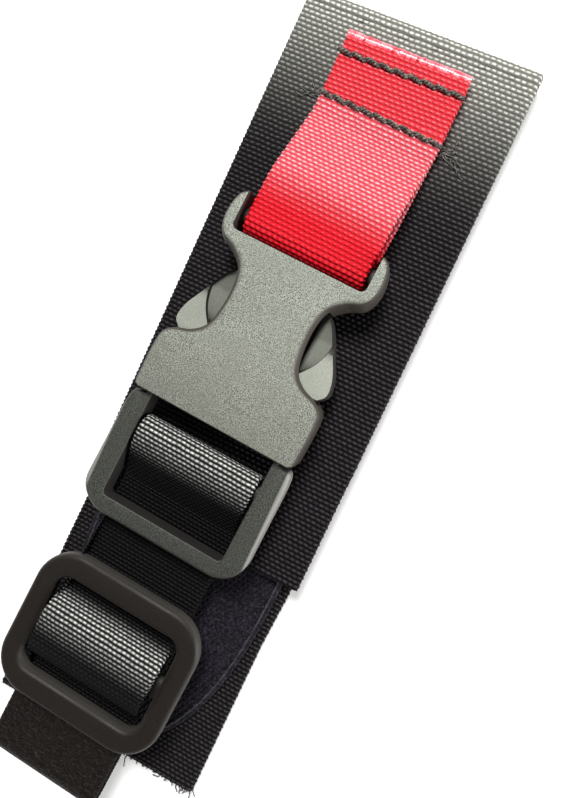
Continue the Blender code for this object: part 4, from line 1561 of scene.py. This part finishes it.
def make_camera():
    sizes = stage_sizes()
    eye = Vector(sizes.eye)
    ahead = (Vector(sizes.aim) - eye).normalized()
    up_hint = Vector((-math.sin(sizes.turn), math.cos(sizes.turn), 0.0))
    right = ahead.cross(up_hint).normalized()
    up = right.cross(ahead)
    data = bpy.data.cameras.new("camera")
    data.lens = sizes.lens
    data.sensor_width = 36.0
    data.clip_start = 0.005
    data.clip_end = 20.0
    camera = bpy.data.objects.new("camera", data)
    turned = Matrix((right, up, -ahead)).transposed().to_4x4()
    camera.matrix_world = Matrix.Translation(eye) @ turned
    bpy.context.scene.collection.objects.link(camera)
    bpy.context.scene.camera = camera


def make_lamp(name, place, aim, size, power, colour=(1.0, 1.0, 1.0)):
    data = bpy.data.lights.new(name, "AREA")
    data.shape = "DISK"
    data.size = size
    data.energy = power
    data.color = colour
    lamp = bpy.data.objects.new(name, data)
    lamp.location = place
    lamp.rotation_mode = "QUATERNION"
    lamp.rotation_quaternion = (Vector(aim) - Vector(place)).to_track_quat("-Z", "Y")
    bpy.context.scene.collection.objects.link(lamp)


def background_rays(tree):
    """1 for the rays that show the background: seen straight, in a gloss or through glass."""
    path = tree.nodes.new("ShaderNodeLightPath").outputs
    rays = maths(tree, "MAXIMUM", path["Is Camera Ray"], path["Is Glossy Ray"])
    return maths(tree, "MAXIMUM", rays, path["Is Transmission Ray"])


def shown_as(tree, factor, plain, seen, result):
    """Use one shader for the light, and another where the background is seen."""
    mix = tree.nodes.new("ShaderNodeMixShader")
    tree.links.new(factor, mix.inputs[0])
    tree.links.new(plain, mix.inputs[1])
    tree.links.new(seen, mix.inputs[2])
    tree.links.new(mix.outputs[0], result.inputs["Surface"])


def make_floor():
    """A plain pale floor that burns out to white where it is seen, and keeps its shadow."""
    bm = bmesh.new()
    bmesh.ops.create_circle(bm, cap_ends=True, segments=64, radius=2.5)
    made, tree, shader = start_material("pale_floor", 0.8, 0.1)
    shader.inputs["Base Color"].default_value = (*stage_sizes().floor, 1.0)
    glow = tree.nodes.new("ShaderNodeEmission")
    glow.inputs["Strength"].default_value = 0.35
    both = tree.nodes.new("ShaderNodeAddShader")
    tree.links.new(shader.outputs[0], both.inputs[0])
    tree.links.new(glow.outputs[0], both.inputs[1])
    shown_as(
        tree, background_rays(tree), shader.outputs[0], both.outputs[0],
        tree.nodes["Material Output"],
    )
    object_of(bm, "floor", made)


def make_world():
    """Dim even light, and plain white where the background is seen."""
    world = bpy.data.worlds.new("soft_room")
    bpy.context.scene.world = world
    world.use_nodes = True
    tree = world.node_tree
    plain = tree.nodes["Background"]
    plain.inputs["Color"].default_value = (0.95, 0.975, 1.0, 1.0)
    plain.inputs["Strength"].default_value = 0.12
    white = tree.nodes.new("ShaderNodeBackground")
    white.inputs["Strength"].default_value = 1.0
    shown_as(
        tree, background_rays(tree), plain.outputs[0], white.outputs[0],
        tree.nodes["World Output"],
    )


def make_stage():
    bpy.context.scene.view_settings.view_transform = "Standard"
    make_camera()
    make_floor()
    make_world()
    centre = Vector((0.0, 0.0, 0.01))
    make_lamp("key", (-0.085, 0.315, 0.545), centre, 0.22, 5.2, (1.0, 0.998, 0.98))
    make_lamp("side", (0.55, 0.02, 0.13), centre, 0.20, 2.6)


# Add-on classes


class TOURNIQUET_OT_band(bpy.types.Operator):
    """Build the wide band and its fold"""

    bl_idname = "tourniquet.band"
    bl_label = "Band"
    bl_options = {"REGISTER", "UNDO"}

    def execute(self, context):
        lay_band()
        return {"FINISHED"}


class TOURNIQUET_OT_tapes(bpy.types.Operator):
    """Build the hook and pile tapes"""

    bl_idname = "tourniquet.tapes"
    bl_label = "Hook and Pile Tapes"
    bl_options = {"REGISTER", "UNDO"}

    def execute(self, context):
        make_hook_patch()
        make_pile_tapes()
        return {"FINISHED"}


class TOURNIQUET_OT_anchor(bpy.types.Operator):
    """Build the red loop and its sealed end"""

    bl_idname = "tourniquet.anchor"
    bl_label = "Anchor Loop"
    bl_options = {"REGISTER", "UNDO"}

    def execute(self, context):
        make_anchor()
        return {"FINISHED"}


class TOURNIQUET_OT_strap(bpy.types.Operator):
    """Build the doubled strap and its tail"""

    bl_idname = "tourniquet.strap"
    bl_label = "Tension Strap"
    bl_options = {"REGISTER", "UNDO"}

    def execute(self, context):
        make_doubled_strap()
        make_tail()
        return {"FINISHED"}


class TOURNIQUET_OT_socket(bpy.types.Operator):
    """Build the female half of the buckle"""

    bl_idname = "tourniquet.socket"
    bl_label = "Buckle Socket"
    bl_options = {"REGISTER", "UNDO"}

    def execute(self, context):
        make_socket()
        return {"FINISHED"}


class TOURNIQUET_OT_plug(bpy.types.Operator):
    """Build the plug's frame and its prongs"""

    bl_idname = "tourniquet.plug"
    bl_label = "Buckle Plug"
    bl_options = {"REGISTER", "UNDO"}

    def execute(self, context):
        make_plug()
        make_prongs()
        return {"FINISHED"}


class TOURNIQUET_OT_tri_glide(bpy.types.Operator):
    """Build the strap adjuster"""

    bl_idname = "tourniquet.tri_glide"
    bl_label = "Tri-glide"
    bl_options = {"REGISTER", "UNDO"}

    def execute(self, context):
        make_tri_glide()
        return {"FINISHED"}


class TOURNIQUET_OT_stitching(bpy.types.Operator):
    """Build every row of stitches"""

    bl_idname = "tourniquet.stitching"
    bl_label = "Stitching"
    bl_options = {"REGISTER", "UNDO"}

    def execute(self, context):
        make_anchor_stitches()
        make_patch_stitches()
        return {"FINISHED"}


class TOURNIQUET_OT_loose_threads(bpy.types.Operator):
    """Build the tufts of loose thread and the frayed end"""

    bl_idname = "tourniquet.loose_threads"
    bl_label = "Loose Threads"
    bl_options = {"REGISTER", "UNDO"}

    def execute(self, context):
        make_tufts()
        make_frayed_end()
        return {"FINISHED"}


class TOURNIQUET_OT_stage(bpy.types.Operator):
    """Build the camera, lamps and floor"""

    bl_idname = "tourniquet.stage"
    bl_label = "Stage"
    bl_options = {"REGISTER", "UNDO"}

    def execute(self, context):
        make_stage()
        return {"FINISHED"}


OPERATORS = [
    TOURNIQUET_OT_band, TOURNIQUET_OT_tapes, TOURNIQUET_OT_anchor, TOURNIQUET_OT_strap,
    TOURNIQUET_OT_socket, TOURNIQUET_OT_plug, TOURNIQUET_OT_tri_glide, TOURNIQUET_OT_stitching,
    TOURNIQUET_OT_loose_threads, TOURNIQUET_OT_stage,
]


class TOURNIQUET_PT_panel(bpy.types.Panel):
    """Lists the pieces of the tourniquet."""

    bl_idname = "TOURNIQUET_PT_panel"
    bl_label = "Tourniquet"
    bl_space_type = "VIEW_3D"
    bl_region_type = "UI"
    bl_category = "Tourniquet"

    def draw(self, context):
        for made in OPERATORS:
            self.layout.operator(made.bl_idname)


GROUPS = {
    "tourniquet_webbing": WebbingSizes,
    "tourniquet_plastic": PlasticSizes,
    "tourniquet_stage": StageSizes,
}


def register():
    for name, group in GROUPS.items():
        bpy.utils.register_class(group)
        setattr(bpy.types.Scene, name, bpy.props.PointerProperty(type=group))
    for made in [*OPERATORS, TOURNIQUET_PT_panel]:
        bpy.utils.register_class(made)


def unregister():
    for made in reversed([*OPERATORS, TOURNIQUET_PT_panel]):
        bpy.utils.unregister_class(made)
    for name, group in GROUPS.items():
        delattr(bpy.types.Scene, name)
        bpy.utils.unregister_class(group)


def main():
    register()
    for made in OPERATORS:
        getattr(bpy.ops.tourniquet, made.bl_idname.split(".")[1])()


if __name__ == "__main__":
    main()
